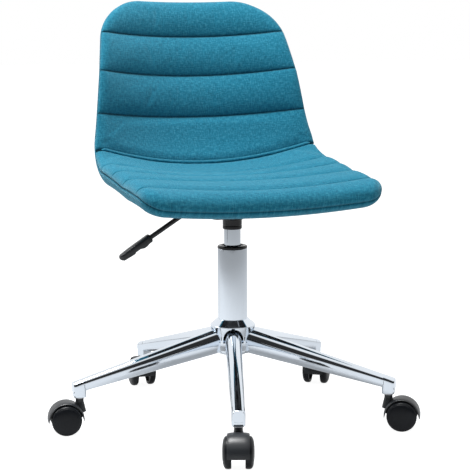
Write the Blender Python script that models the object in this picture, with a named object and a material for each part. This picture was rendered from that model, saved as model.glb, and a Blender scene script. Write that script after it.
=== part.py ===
"""Swivel office chair: an upholstered shell seat on a gas lift and a five-arm chromed base with casters.

Blender 4.5 script. Metres, +Z up, the floor at Z = 0, and the sitter faces -Y.
Everything hangs on the empty chair_frame, which stands where the column's axis meets the floor.
"""
import math

import bmesh
import bpy
import numpy as np
from mathutils import Matrix, Vector

# ---- the frame -------------------------------------------------------------------------------
COLUMN_X = 0.0267              # the column's axis, seen from the middle of the chair's footprint
COLUMN_Y = 0.0001
GAP = 0.0003                   # room between two solids that touch on the real chair
MERGE = 1e-6
ABOUT_Y = Matrix.Rotation(-math.pi / 2, 4, "X")    # lays a piece turned about Z along Y

# ---- base: hub, arms, caster sockets -----------------------------------------------------------
ARM_COUNT = 5
FIRST_ARM_ANGLE = math.radians(-108.6)
SOCKET_CIRCLE_R = 0.2683       # column axis to caster stem
SOCKET_R = 0.0110
SOCKET_BOTTOM_Z = 0.0604
SOCKET_TOP_Z = 0.0885
STEM_BORE_R = 0.0058
HUB_R = 0.0350
HUB_RIM_R = 0.0388
HUB_BOTTOM_Z = 0.1170
HUB_RIM_Z = 0.1630
HUB_TOP_Z = 0.1740
ARM_HUB_SIZE = (0.0280, 0.0440)    # width, height where the arm leaves the hub
ARM_END_SIZE = (0.0200, 0.0205)    # width, height at the caster socket
ARM_HUB_MID_Z = 0.1365
ARM_END_MID_Z = 0.0790

# ---- gas lift ----------------------------------------------------------------------------------
TUBE_R = 0.0250
TUBE_WALL = 0.0025
TUBE_FOOT_R = 0.0225
TUBE_BOTTOM_Z = 0.1130
TUBE_TOP_Z = 0.2950
TUBE_FLOOR = 0.0030
CYLINDER_R = 0.0140
CYLINDER_BORE_R = 0.0120
CYLINDER_BOTTOM_Z = 0.1350
CYLINDER_TOP_Z = 0.3500
ROD_R = 0.0050
ROD_TOP_Z = 0.3300
RELEASE_PIN_R = 0.0035
RELEASE_PIN_TOP_Z = 0.3547

# ---- seat mechanism ----------------------------------------------------------------------------
PLATE_SIZE = (0.150, 0.140, 0.0025)
PLATE_TOP_Z = 0.3745
PLATE_MID_Y = 0.005
BOX_SIZE = (0.090, 0.070)
BOX_BOTTOM_Z = 0.3462
BOX_WALL = 0.0020
COLLAR_BOTTOM_Z = 0.3260
COLLAR_R = 0.0163
COLLAR_LIP_R = 0.0180
BOLT_SPACING = (0.120, 0.110)
BOLT_R = 0.0030
BOLT_TOP_Z = 0.3995
LEVER_PIVOT_X = -0.030
LEVER_Z = 0.3590
LEVER_R = 0.0040
LEVER_BEND_X = -0.079
LEVER_TIP = (-0.194, 0.286)        # x and z of the grip's end
GRIP_LENGTH = 0.058
PIVOT_PIN_R = 0.0020

# ---- casters -----------------------------------------------------------------------------------
WHEEL_R = 0.0250
WHEEL_SIDES = 24
WHEEL_INNER_Y = 0.0107
TREAD_OUTER_Y = 0.0200
WHEEL_DOME_Y = 0.0247
CASTER_TRAIL = 0.0228              # swivel axis to wheel axle
HOOD_R = 0.0300
HOOD_INNER_R = 0.0264
HOOD_HALF_WIDTH = 0.0172
WEB_HALF_WIDTH = 0.0098
NECK_R = 0.0067
AXLE_R = 0.0030
AXLE_HALF_LENGTH = 0.0205
STEM_R = 0.0040
# which way each caster trails, counted from its own arm's direction
CASTER_TURNS = tuple(math.radians(a) for a in (-2.5, 6.3, 19.3, -19.7, -7.7))

# ---- seat and back: one bent shell, measured along its middle from the top edge ---------------
TOP_EDGE_Y = 0.2463
TOP_EDGE_Z = 0.7106
SHELL_LENGTH = 0.626
BACK_RECLINE = math.radians(16)
TOP_FLARE = math.radians(5.6)
TOP_FLARE_END = 0.130
BEND_START = 0.218
BEND_END = 0.390
SEAT_REAR_ANGLE = math.radians(91.7)
SEAT_FRONT_ANGLE = math.radians(82.7)
FRONT_ROLL_START = 0.578
FRONT_ROLL = math.radians(26)
CREASE_AT = 0.307
# distance along the shell, half width there, how far the side edges curl towards the sitter
STATIONS = ((0.013, 0.162, 0.034), (0.145, 0.183, 0.055), (0.278, 0.201, 0.046),
            (0.384, 0.209, 0.028), (0.498, 0.206, 0.014), (0.626, 0.204, 0.016))
TOP_CORNER_R = 0.078
FRONT_CORNER_R = 0.036
BACK_THICKNESS = 0.027
SEAT_THICKNESS = 0.0366
BACK_PARTING = 0.0103              # how far the seam round the edge lies below the seats of the channels
SEAT_PARTING = 0.0155
PAD_CROWN = 0.003
EDGE_ROUND = 0.0196
EDGE_WALL = 0.0015
PLY_THICKNESS = 0.011
PLY_INSET = 0.0170
EDGE_STEPS = (0.0, 0.0015, 0.0050, 0.0100, PLY_INSET, 0.0500)
INNER_SHARES = (2 / 3, 1 / 3)    # further columns, as shares of the way from the middle to the last step
ROW_PITCH = 0.030


def clear_scene():
    for obj in list(bpy.data.objects):
        bpy.data.objects.remove(obj, do_unlink=True)


def make_material(name, colour, roughness, metallic):
    mat = bpy.data.materials.new(name)
    mat.use_nodes = True
    shader = mat.node_tree.nodes["Principled BSDF"]
    shader.inputs["Base Color"].default_value = (*colour, 1.0)
    shader.inputs["Roughness"].default_value = roughness
    shader.inputs["Metallic"].default_value = metallic
    mat.diffuse_color = (*colour, 1.0)
    return mat


CHROME = ("chrome", (0.78, 0.79, 0.80), 0.07, 1.0)
STEEL = ("zinc_steel", (0.55, 0.56, 0.57), 0.32, 1.0)
BLACK_STEEL = ("black_steel", (0.020, 0.020, 0.022), 0.45, 0.3)
BLACK_PLASTIC = ("black_plastic", (0.022, 0.022, 0.024), 0.38, 0.0)
TREAD_NYLON = ("wheel_nylon", (0.014, 0.014, 0.015), 0.30, 0.0)
RUBBER = ("rubber", (0.016, 0.016, 0.016), 0.80, 0.0)
PLYWOOD = ("plywood", (0.50, 0.36, 0.21), 0.60, 0.0)
FABRIC = ("teal_fabric", (0.020, 0.170, 0.235), 0.95, 0.0)


def mesh_from(bm, name):
    bmesh.ops.recalc_face_normals(bm, faces=bm.faces)
    mesh = bpy.data.meshes.new(name)
    bm.to_mesh(mesh)
    bm.free()
    return mesh


def add_part(name, mesh, finish, parent, location=(0, 0, 0), turn=0.0, smooth=True):
    """Place a mesh as one named piece with a material of its own."""
    if mesh.users:
        mesh = mesh.copy()
    if smooth:
        mesh.shade_smooth()
        mesh.set_sharp_from_angle(angle=math.radians(35))
    mesh.materials.clear()
    mesh.materials.append(make_material(f"{name}_{finish[0]}", *finish[1:]))
    obj = bpy.data.objects.new(name, mesh)
    obj.parent = parent
    obj.location = location
    obj.rotation_euler = (0, 0, turn)
    bpy.context.scene.collection.objects.link(obj)
    return obj


def add_pivot(name, location=(0, 0, 0), turn=0.0, parent=None):
    empty = bpy.data.objects.new(name, None)
    empty.location = location
    empty.rotation_euler = (0, 0, turn)
    empty.parent = parent
    bpy.context.scene.collection.objects.link(empty)
    return empty


def turned(outline, sides=24, half_step=False):
    """Turn an outline of (radius, height) points about Z; the run along the axis is left open."""
    bm = bmesh.new()
    ring = [bm.verts.new((r, 0, z)) for r, z in outline]
    pairs = list(zip(ring, ring[1:] + ring[:1]))
    edges = [bm.edges.new(p) for p in pairs if max(p[0].co.x, p[1].co.x) > MERGE]
    bmesh.ops.spin(bm, geom=ring + edges, axis=(0, 0, 1), cent=(0, 0, 0), angle=math.tau,
                   steps=sides, use_merge=True)
    bmesh.ops.remove_doubles(bm, verts=bm.verts, dist=MERGE)
    if half_step:
        bmesh.ops.rotate(bm, verts=bm.verts, matrix=Matrix.Rotation(math.pi / sides, 3, "Z"))
    return mesh_from(bm, "turned")


def loft(rings):
    """Skin a row of closed rings of equal length and cap both ends."""
    bm = bmesh.new()
    rows = [[bm.verts.new(p) for p in ring] for ring in rings]
    for row, following in zip(rows, rows[1:]):
        for i in range(len(row)):
            j = (i + 1) % len(row)
            bm.faces.new((row[i], row[j], following[j], following[i]))
    bm.faces.new(rows[0])
    bm.faces.new(rows[-1])
    return mesh_from(bm, "loft")


def prism(outline, low, high, axis="Z"):
    """Extrude a flat outline. Along Z its points are (x, y); along Y they are (x, z)."""
    place = {"Z": lambda a, b, t: (a, b, t), "Y": lambda a, b, t: (a, t, b)}[axis]
    return loft([[place(a, b, t) for a, b in outline] for t in (low, high)])


def rectangle(width, depth, mid=(0, 0)):
    return [(mid[0] + sx * width / 2, mid[1] + sy * depth / 2) for sx, sy in
            ((-1, -1), (1, -1), (1, 1), (-1, 1))]


def arc(centre, radius, start, end, steps):
    """Points on an arc, angles in degrees."""
    angles = np.radians(np.linspace(start, end, steps + 1))
    return [(centre[0] + radius * math.cos(a), centre[1] + radius * math.sin(a)) for a in angles]


def combine(mesh, others):
    """Apply EXACT booleans to a mesh: others is a list of (operation, mesh, matrix)."""
    body = bpy.data.objects.new("body", mesh)
    bpy.context.scene.collection.objects.link(body)
    tools = []
    for operation, tool_mesh, matrix in others:
        tool = bpy.data.objects.new("tool", tool_mesh)
        tool.matrix_world = matrix
        bpy.context.scene.collection.objects.link(tool)
        cut = body.modifiers.new("cut", "BOOLEAN")
        cut.operation = operation
        cut.solver = "EXACT"
        cut.object = tool
        tools.append(tool)
    bpy.context.view_layer.update()
    evaluated = body.evaluated_get(bpy.context.evaluated_depsgraph_get())
    result = bpy.data.meshes.new_from_object(evaluated)
    for obj in [body, *tools]:
        bpy.data.objects.remove(obj, do_unlink=True)
    return result


def along_y(x=0.0, z=0.0, y=0.0):
    """Place a piece turned about Z so that its axis lies along Y."""
    return Matrix.Translation((x, y, z)) @ ABOUT_Y


def rod(radius, low, high, sides=12):
    return turned([(0, low), (radius, low), (radius, high), (0, high)], sides)


def smoothstep(t):
    t = np.clip(t, 0, 1)
    return t * t * (3 - 2 * t)


# ---- base ---------------------------------------------------------------------------------------
def tube_radius_at(z):
    """The column tube is straight above the hub and tapers inside it."""
    share = min(max((HUB_TOP_Z - z) / (HUB_TOP_Z - TUBE_BOTTOM_Z), 0), 1)
    return TUBE_R + (TUBE_FOOT_R - TUBE_R) * share


def hub_side(clearance=0.0):
    """The hub's outer side from its foot to its rim."""
    return [(HUB_R - 0.0030, HUB_BOTTOM_Z), (HUB_R + clearance, HUB_BOTTOM_Z + 0.0030),
            (HUB_R + clearance, HUB_RIM_Z - 0.0160), (HUB_RIM_R + clearance, HUB_RIM_Z - 0.0035),
            (HUB_RIM_R + clearance, HUB_RIM_Z)]


def hub_mesh():
    outline = [
        (tube_radius_at(HUB_BOTTOM_Z) + GAP, HUB_BOTTOM_Z), *hub_side(),
        (HUB_RIM_R - 0.0050, HUB_RIM_Z + 0.0040), (TUBE_R + 0.0018, HUB_TOP_Z),
        (TUBE_R + GAP, HUB_TOP_Z),
    ]
    return turned(outline, 32)


def arm_ring(radius, width, height, mid_z, sides=16):
    """A rounded upright section: a superellipse of power 3 in the plane across the arm."""
    angles = np.linspace(0, math.tau, sides, endpoint=False) + math.pi / sides
    across = np.sign(np.cos(angles)) * np.abs(np.cos(angles)) ** (2 / 3)
    up = np.sign(np.sin(angles)) * np.abs(np.sin(angles)) ** (2 / 3)
    return [(radius, a * width / 2, mid_z + u * height / 2) for a, u in zip(across, up)]


def arm_mesh():
    """A tapering arm along +X, hollowed at both ends to sit against the hub and the caster socket."""
    start, end = HUB_R - 0.006, SOCKET_CIRCLE_R
    rings = []
    for share in np.linspace(0, 1, 5):
        sizes = [a + (b - a) * share for a, b in zip(ARM_HUB_SIZE, ARM_END_SIZE)]
        mid_z = ARM_HUB_MID_Z + (ARM_END_MID_Z - ARM_HUB_MID_Z) * share
        rings.append(arm_ring(start + (end - start) * share, *sizes, mid_z))
    foot_r = HUB_R + GAP
    hub_cut = turned([(0, 0.05), (foot_r, 0.05), *hub_side(GAP)[1:], (HUB_RIM_R, 0.2), (0, 0.2)], 32)
    socket_cut = turned([(0, 0.02), (SOCKET_R + GAP, 0.02), (SOCKET_R + GAP, 0.15), (0, 0.15)], 16)
    at_socket = Matrix.Translation((SOCKET_CIRCLE_R, 0, 0))
    return combine(loft(rings), [("DIFFERENCE", hub_cut, Matrix()),
                                 ("DIFFERENCE", socket_cut, at_socket)])


def socket_mesh():
    chamfer = 0.0015
    bore_top = SOCKET_TOP_Z - 0.0040
    return turned([
        (STEM_BORE_R, SOCKET_BOTTOM_Z), (SOCKET_R - chamfer, SOCKET_BOTTOM_Z),
        (SOCKET_R, SOCKET_BOTTOM_Z + chamfer), (SOCKET_R, SOCKET_TOP_Z - 0.0030),
        (SOCKET_R - 0.0030, SOCKET_TOP_Z), (0, SOCKET_TOP_Z), (0, bore_top), (STEM_BORE_R, bore_top),
    ], 16)


def build_base(frame):
    add_part("base_hub", hub_mesh(), CHROME, frame)
    arm, socket, stem = arm_mesh(), socket_mesh(), stem_mesh()
    for i in range(ARM_COUNT):
        angle = FIRST_ARM_ANGLE + i * math.tau / ARM_COUNT
        place = Vector((SOCKET_CIRCLE_R * math.cos(angle), SOCKET_CIRCLE_R * math.sin(angle), 0))
        add_part(f"base_arm_{i + 1}", arm, CHROME, frame, turn=angle)
        add_part(f"caster_socket_{i + 1}", socket, CHROME, frame, place, angle)
        add_part(f"caster_stem_{i + 1}", stem, STEEL, frame, place, angle)


# ---- casters --------------------------------------------------------------------------------------
def stem_mesh():
    """The pin that stands in the socket, with a flange below it and a shank for the housing."""
    top = SOCKET_TOP_Z - 0.0060
    flange_top = SOCKET_BOTTOM_Z - GAP
    flange_bottom = flange_top - 0.0010
    grip_r = STEM_BORE_R - GAP
    return turned([
        (0, 0.0370), (STEM_R, 0.0370), (STEM_R, flange_bottom), (0.0085, flange_bottom),
        (0.0085, flange_top), (grip_r, flange_top), (grip_r, top - 0.0015), (grip_r - 0.0015, top),
        (0, top),
    ], 14)


def housing_mesh():
    """The caster's body in its swivel frame: it trails along +X, with the axle along Y."""
    axle = (CASTER_TRAIL, WHEEL_R)
    hood_outline = arc(axle, HOOD_R, -6, 186, 16) + arc(axle, HOOD_INNER_R, 186, -6, 16)
    hood = prism(hood_outline, -HOOD_HALF_WIDTH, HOOD_HALF_WIDTH, "Y")
    web_outline = arc(axle, HOOD_R - 0.0015, 4, 176, 12) + arc(axle, 0.0150, 200, 340, 6)
    web = prism(web_outline, -WEB_HALF_WIDTH, WEB_HALF_WIDTH, "Y")
    top = SOCKET_BOTTOM_Z - 0.0010 - 2 * GAP
    boss = turned([(0, 0.0290), (NECK_R, 0.0290), (NECK_R, top), (0, top)], 16)
    stem_hole = rod(STEM_R + GAP, 0.0360, 0.0700, 14)
    axle_hole = rod(AXLE_R + GAP, -0.040, 0.040)
    return combine(hood, [("UNION", web, Matrix()), ("UNION", boss, Matrix()),
                          ("DIFFERENCE", stem_hole, Matrix()),
                          ("DIFFERENCE", axle_hole, along_y(*axle))])


def wheel_mesh():
    """One wheel about Y, its rounded face outward. Flat sides put a facet on the floor."""
    corner_r = WHEEL_R / math.cos(math.pi / WHEEL_SIDES)
    hole_r = AXLE_R + GAP
    hole_end = AXLE_HALF_LENGTH + GAP
    mesh = turned([
        (0, hole_end), (hole_r, hole_end), (hole_r, WHEEL_INNER_Y), (corner_r - 0.0008, WHEEL_INNER_Y),
        (corner_r, WHEEL_INNER_Y + 0.0010), (corner_r, TREAD_OUTER_Y - 0.0012),
        (corner_r - 0.0012, TREAD_OUTER_Y), (corner_r * 0.55, WHEEL_DOME_Y - 0.0012), (0, WHEEL_DOME_Y),
    ], WHEEL_SIDES, half_step=True)
    mesh.transform(ABOUT_Y)
    return mesh


def build_casters(frame):
    housing, wheel = housing_mesh(), wheel_mesh()
    axle = rod(AXLE_R, -AXLE_HALF_LENGTH, AXLE_HALF_LENGTH)
    axle.transform(ABOUT_Y)
    for i in range(ARM_COUNT):
        angle = FIRST_ARM_ANGLE + i * math.tau / ARM_COUNT
        place = (SOCKET_CIRCLE_R * math.cos(angle), SOCKET_CIRCLE_R * math.sin(angle), 0)
        swivel = add_pivot(f"caster_{i + 1}", place, angle + CASTER_TURNS[i], frame)
        at_axle = (CASTER_TRAIL, 0, WHEEL_R)
        add_part(f"caster_housing_{i + 1}", housing, BLACK_PLASTIC, swivel)
        add_part(f"caster_axle_{i + 1}", axle, STEEL, swivel, at_axle)
        add_part(f"caster_wheel_{i + 1}a", wheel, TREAD_NYLON, swivel, at_axle)
        add_part(f"caster_wheel_{i + 1}b", wheel, TREAD_NYLON, swivel, at_axle, turn=math.pi)


# ---- gas lift --------------------------------------------------------------------------------------
def column_tube_mesh():
    floor_top = TUBE_BOTTOM_Z + TUBE_FLOOR
    bore_r = TUBE_R - TUBE_WALL
    return turned([
        (ROD_R + GAP, TUBE_BOTTOM_Z), (TUBE_FOOT_R, TUBE_BOTTOM_Z), (TUBE_R, HUB_TOP_Z),
        (TUBE_R, TUBE_TOP_Z - 0.0010), (TUBE_R - 0.0010, TUBE_TOP_Z), (bore_r, TUBE_TOP_Z),
        (bore_r, HUB_TOP_Z), (TUBE_FOOT_R - TUBE_WALL, floor_top), (ROD_R + GAP, floor_top),
    ], 32)


def guide_sleeve_mesh():
    """The sleeve that the cylinder slides in, with a flange and a low collar on top of the tube."""
    bore_r = CYLINDER_R + GAP
    outer_r = TUBE_R - TUBE_WALL - GAP
    seat_z = TUBE_TOP_Z + GAP
    return turned([
        (bore_r, 0.1900), (outer_r, 0.1900), (outer_r, seat_z), (TUBE_R - 0.0004, seat_z),
        (TUBE_R - 0.0004, seat_z + 0.0014), (0.0215, seat_z + 0.0026), (bore_r, seat_z + 0.0030),
    ], 28)


def cylinder_mesh():
    top_inside = CYLINDER_TOP_Z - 0.0080
    return turned([
        (ROD_R + GAP, CYLINDER_BOTTOM_Z), (CYLINDER_R - 0.0010, CYLINDER_BOTTOM_Z),
        (CYLINDER_R, CYLINDER_BOTTOM_Z + 0.0010), (CYLINDER_R, CYLINDER_TOP_Z - 0.0010),
        (CYLINDER_R - 0.0010, CYLINDER_TOP_Z), (RELEASE_PIN_R + GAP, CYLINDER_TOP_Z),
        (RELEASE_PIN_R + GAP, top_inside), (CYLINDER_BORE_R, top_inside),
        (CYLINDER_BORE_R, CYLINDER_BOTTOM_Z + 0.0080), (ROD_R + GAP, CYLINDER_BOTTOM_Z + 0.0080),
    ], 28)


def piston_rod_mesh():
    head_r = CYLINDER_BORE_R - GAP
    return turned([(0, TUBE_BOTTOM_Z - 0.0050), (ROD_R, TUBE_BOTTOM_Z - 0.0050),
                   (ROD_R, ROD_TOP_Z - 0.0080), (head_r, ROD_TOP_Z - 0.0080), (head_r, ROD_TOP_Z),
                   (0, ROD_TOP_Z)], 16)


def washer(inner_r, outer_r, low, high, sides=16):
    return turned([(inner_r, low), (outer_r, low), (outer_r, high), (inner_r, high)], sides)


def build_gas_lift(frame):
    hole_r = ROD_R + GAP
    floor_z = TUBE_BOTTOM_Z + TUBE_FLOOR
    race = 0.0023
    lower_z = floor_z + GAP
    upper_z = lower_z + race + GAP
    buffer_z = upper_z + race + GAP
    add_part("column_tube", column_tube_mesh(), CHROME, frame)
    add_part("guide_sleeve", guide_sleeve_mesh(), BLACK_PLASTIC, frame)
    add_part("thrust_bearing_lower", washer(hole_r, 0.0120, lower_z, lower_z + race), STEEL, frame)
    add_part("thrust_bearing_upper", washer(hole_r, 0.0120, upper_z, upper_z + race), STEEL, frame)
    add_part("bump_stop", washer(hole_r, 0.0090, buffer_z, CYLINDER_BOTTOM_Z - 0.0015), RUBBER, frame)
    clip_top = TUBE_BOTTOM_Z - GAP
    add_part("retaining_clip", washer(hole_r, 0.0090, clip_top - 0.0018, clip_top), STEEL, frame)
    add_part("piston_rod", piston_rod_mesh(), STEEL, frame)
    add_part("gas_cylinder", cylinder_mesh(), CHROME, frame)
    pin = turned([(0, 0.3360), (RELEASE_PIN_R, 0.3360), (RELEASE_PIN_R, RELEASE_PIN_TOP_Z - 0.0010),
                  (RELEASE_PIN_R - 0.0010, RELEASE_PIN_TOP_Z), (0, RELEASE_PIN_TOP_Z)], 12)
    add_part("release_pin", pin, STEEL, frame)


# ---- seat mechanism ---------------------------------------------------------------------------------
def bolt_places():
    return [(sx * BOLT_SPACING[0] / 2, PLATE_MID_Y + sy * BOLT_SPACING[1] / 2)
            for sx, sy in ((-1, -1), (1, -1), (1, 1), (-1, 1))]


def bolt_holes(low, high):
    """Cutters for the four seat bolts."""
    return [("DIFFERENCE", rod(BOLT_R + GAP, low, high), Matrix.Translation((x, y, 0)))
            for x, y in bolt_places()]


def plate_mesh():
    low = PLATE_TOP_Z - PLATE_SIZE[2]
    blank = prism(rectangle(*PLATE_SIZE[:2], (0, PLATE_MID_Y)), low, PLATE_TOP_Z)
    return combine(blank, bolt_holes(low - 0.01, PLATE_TOP_Z + 0.01))


def box_mesh():
    """The pressed tray under the plate, open at the top, with the lever's slot in its -X wall."""
    top = PLATE_TOP_Z - PLATE_SIZE[2] - GAP
    floor = BOX_BOTTOM_Z + BOX_WALL
    inside = prism(rectangle(*(size - 2 * BOX_WALL for size in BOX_SIZE)), floor, top + 0.01)
    socket_hole = rod(COLLAR_R + GAP, BOX_BOTTOM_Z - 0.01, floor + 0.01, 28)
    slot = prism(rectangle(0.02, 0.0130, (-BOX_SIZE[0] / 2, 0)), LEVER_Z - 0.0060, top + 0.01)
    pin_hole = rod(PIVOT_PIN_R + GAP, -0.05, 0.05)
    return combine(prism(rectangle(*BOX_SIZE), BOX_BOTTOM_Z, top), [
        ("DIFFERENCE", inside, Matrix()), ("DIFFERENCE", socket_hole, Matrix()),
        ("DIFFERENCE", slot, Matrix()),
        ("DIFFERENCE", pin_hole, along_y(LEVER_PIVOT_X, LEVER_Z))])


def collar_mesh():
    """The socket that the cylinder's top is wedged in: it shows as a black collar with a lip."""
    bore_r = CYLINDER_R + GAP
    lip_bottom = BOX_BOTTOM_Z - GAP - 0.0040
    return turned([
        (bore_r, COLLAR_BOTTOM_Z), (COLLAR_R - 0.0006, COLLAR_BOTTOM_Z),
        (COLLAR_R, COLLAR_BOTTOM_Z + 0.0010), (COLLAR_R, lip_bottom), (COLLAR_LIP_R, lip_bottom),
        (COLLAR_LIP_R, BOX_BOTTOM_Z - GAP), (COLLAR_R, BOX_BOTTOM_Z - GAP), (COLLAR_R, 0.3500),
        (bore_r, 0.3500),
    ], 28)


def bolt_mesh():
    """A hexagon bolt up through the plate, its head below."""
    head_top = PLATE_TOP_Z - PLATE_SIZE[2] - GAP
    head = turned([(0, head_top - 0.0040), (0.0058, head_top - 0.0040), (0.0058, head_top),
                   (0, head_top)], 6)
    return combine(head, [("UNION", rod(BOLT_R, head_top - 0.0010, BOLT_TOP_Z), Matrix())])


def round_path(points, radius, sides=12):
    """A round bar through the points of a planar (x, z) path."""
    rings = []
    for i, (x, z) in enumerate(points):
        before, after = points[max(i - 1, 0)], points[min(i + 1, len(points) - 1)]
        run = Vector((after[0] - before[0], 0, after[1] - before[1])).normalized()
        normal = Vector((-run.z, 0, run.x))
        mid = Vector((x, 0, z))
        ring = []
        for a in np.linspace(0, math.tau, sides, endpoint=False):
            ring.append(mid + radius * (math.cos(a) * normal + math.sin(a) * Vector((0, 1, 0))))
        rings.append(ring)
    return loft(rings)


def lever_direction():
    run = Vector((LEVER_TIP[0] - LEVER_BEND_X, LEVER_TIP[1] - LEVER_Z))
    return run.normalized()


def lever_rod_mesh():
    """A bar over the release pin, bent down towards the grip, drilled for its pivot pin."""
    drop = lever_direction()
    bend_r = 0.020
    angle = math.degrees(math.atan2(-drop.y, -drop.x))
    reach = bend_r * math.tan(math.radians(angle) / 2)
    bend = arc((LEVER_BEND_X + reach, LEVER_Z - bend_r), bend_r, 90, 90 + angle, 4)
    end = Vector(LEVER_TIP) - drop * (GRIP_LENGTH - 0.040)
    path = [(0.0040, LEVER_Z), (LEVER_PIVOT_X, LEVER_Z), *bend, tuple(end)]
    pin_hole = rod(PIVOT_PIN_R + GAP, -0.02, 0.02)
    return combine(round_path(path, LEVER_R),
                   [("DIFFERENCE", pin_hole, along_y(LEVER_PIVOT_X, LEVER_Z))])


def grip_mesh():
    """A flat-topped oval handle pushed over the bar's end, its socket open towards the chair."""
    drop = lever_direction()
    side = Vector((-drop.y, drop.x))
    if side.y < 0:
        side = -side
    tip = Vector(LEVER_TIP)
    start = tip - drop * GRIP_LENGTH
    stations = ((0.0, 0.0060, 0.0060), (0.02, 0.0068, 0.0068), (0.30, 0.0075, 0.0075),
                (0.75, 0.0080, 0.0078), (0.94, 0.0068, 0.0066), (1.0, 0.0040, 0.0040))
    rings = []
    for share, half_width, half_height in stations:
        mid = start.lerp(tip, share)
        ring = []
        for a in np.linspace(0, math.tau, 14, endpoint=False):
            up = side * (half_height * math.sin(a))
            ring.append((mid.x + up.x, half_width * math.cos(a), mid.y + up.y))
        rings.append(ring)
    bore_end = tip - drop * 0.0175
    bore = round_path([tuple(start - drop * 0.01), tuple(bore_end)], LEVER_R + GAP)
    return combine(loft(rings), [("DIFFERENCE", bore, Matrix())])


def build_mechanism(frame):
    add_part("seat_plate", plate_mesh(), BLACK_STEEL, frame, smooth=False)
    add_part("mechanism_box", box_mesh(), BLACK_STEEL, frame, smooth=False)
    add_part("lift_socket", collar_mesh(), BLACK_STEEL, frame)
    pin = rod(PIVOT_PIN_R, -BOX_SIZE[1] / 2, BOX_SIZE[1] / 2)
    pin.transform(ABOUT_Y)
    add_part("lever_pivot_pin", pin, STEEL, frame, (LEVER_PIVOT_X, 0, LEVER_Z))
    bolt = bolt_mesh()
    for i, (x, y) in enumerate(bolt_places()):
        add_part(f"seat_bolt_{i + 1}", bolt, STEEL, frame, (x, y, 0))
    lever = add_pivot("lever_pivot", (LEVER_PIVOT_X, 0, LEVER_Z), parent=frame)
    for name, mesh, finish in (("height_lever", lever_rod_mesh(), BLACK_STEEL),
                               ("lever_grip", grip_mesh(), BLACK_PLASTIC)):
        mesh.transform(Matrix.Translation((-LEVER_PIVOT_X, 0, -LEVER_Z)))
        add_part(name, mesh, finish, lever)


# ---- seat and back ------------------------------------------------------------------------------------
def shell_angle(distance):
    """Direction of the shell's middle line: 0 is straight down, a right angle is straight forward."""
    flare = TOP_FLARE * np.clip(1 - distance / TOP_FLARE_END, 0, 1) ** 2
    bend = smoothstep((distance - BEND_START) / (BEND_END - BEND_START))
    seat_share = np.clip((distance - BEND_END) / (FRONT_ROLL_START - BEND_END), 0, 1)
    seat = SEAT_REAR_ANGLE + (SEAT_FRONT_ANGLE - SEAT_REAR_ANGLE) * seat_share
    roll_length = SHELL_LENGTH - FRONT_ROLL_START
    roll = FRONT_ROLL * smoothstep((distance - FRONT_ROLL_START) / roll_length)
    return BACK_RECLINE + flare + (seat - BACK_RECLINE) * bend - roll


def shell_line(distance):
    """Point and sitter-side normal, both as (y, z), at a distance along the shell's middle line."""
    steps = np.linspace(0, SHELL_LENGTH, 400)
    angles = shell_angle(steps)
    mids = (angles[1:] + angles[:-1]) / 2
    length = steps[1] - steps[0]
    y = TOP_EDGE_Y - np.concatenate(([0], np.cumsum(np.sin(mids) * length)))
    z = TOP_EDGE_Z - np.concatenate(([0], np.cumsum(np.cos(mids) * length)))
    angle = float(shell_angle(np.float64(distance)))
    point = np.array([np.interp(distance, steps, y), np.interp(distance, steps, z)])
    return point, np.array([-math.cos(angle), math.sin(angle)])


def half_width(distance):
    """Half the shell's width, with its corners rounded off at the top and at the front."""
    at, widths, _ = zip(*STATIONS)
    width = float(np.interp(distance, at, widths))
    for radius, edge in ((TOP_CORNER_R, distance), (FRONT_CORNER_R, SHELL_LENGTH - distance)):
        if edge < radius:
            width -= radius - math.sqrt(max(radius ** 2 - (radius - edge) ** 2, 0))
    return width


def depths(distance):
    """How far the pads rise above the parting surface, and how far the rear cover drops below it."""
    seat_share = float(smoothstep((distance - BEND_START) / (BEND_END - BEND_START)))
    above = BACK_PARTING + (SEAT_PARTING - BACK_PARTING) * seat_share + PAD_CROWN
    thickness = BACK_THICKNESS + (SEAT_THICKNESS - BACK_THICKNESS) * seat_share
    return above, thickness - above


def shell_point(distance, across, layer):
    """A point of the seat at the layer's height above the parting surface."""
    at, widths, curls = zip(*STATIONS)
    centre, normal = shell_line(distance)
    edge = min(half_width(distance) - abs(across), distance, SHELL_LENGTH - distance)
    share = across / float(np.interp(distance, at, widths))
    curl = float(np.interp(distance, at, curls)) * share ** 2
    above, _ = depths(distance)
    y, z = centre + normal * (curl + PAD_CROWN - above + layer(edge, distance))
    return (across, y, z)


def face_layer(sign):
    """The outer face of the front pads (sign 1) or of the rear cover (sign -1)."""
    def height(edge, distance):
        full = depths(distance)[0 if sign > 0 else 1]
        rounding = math.sqrt(max(1 - (1 - min(max(edge, 0) / EDGE_ROUND, 1)) ** 2, 0))
        return sign * (GAP + EDGE_WALL + (full - GAP - EDGE_WALL) * rounding)
    return height


def lining_layer(sign):
    """The inner face of a pad or of the cover, which rises over the plywood shell."""
    def height(edge, distance):
        over_ply = edge > EDGE_STEPS[3] + MERGE
        return sign * (PLY_THICKNESS / 2 + GAP if over_ply else GAP)
    return height


def ply_layer(sign):
    def height(edge, distance):
        return sign * PLY_THICKNESS / 2
    return height


def shell_rows():
    """Where the cross-sections stand: close together at the rounded ends and at the crease."""
    inset = EDGE_STEPS[-2]
    middle = np.arange(inset + ROW_PITCH, SHELL_LENGTH - inset - ROW_PITCH / 2, ROW_PITCH)
    middle = [float(d) for d in middle if abs(d - CREASE_AT) > ROW_PITCH / 3]
    ends = [d for step in EDGE_STEPS[:-1] for d in (step, SHELL_LENGTH - step)]
    return sorted(ends + middle + [CREASE_AT - 2 * GAP, CREASE_AT + 2 * GAP])


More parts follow.
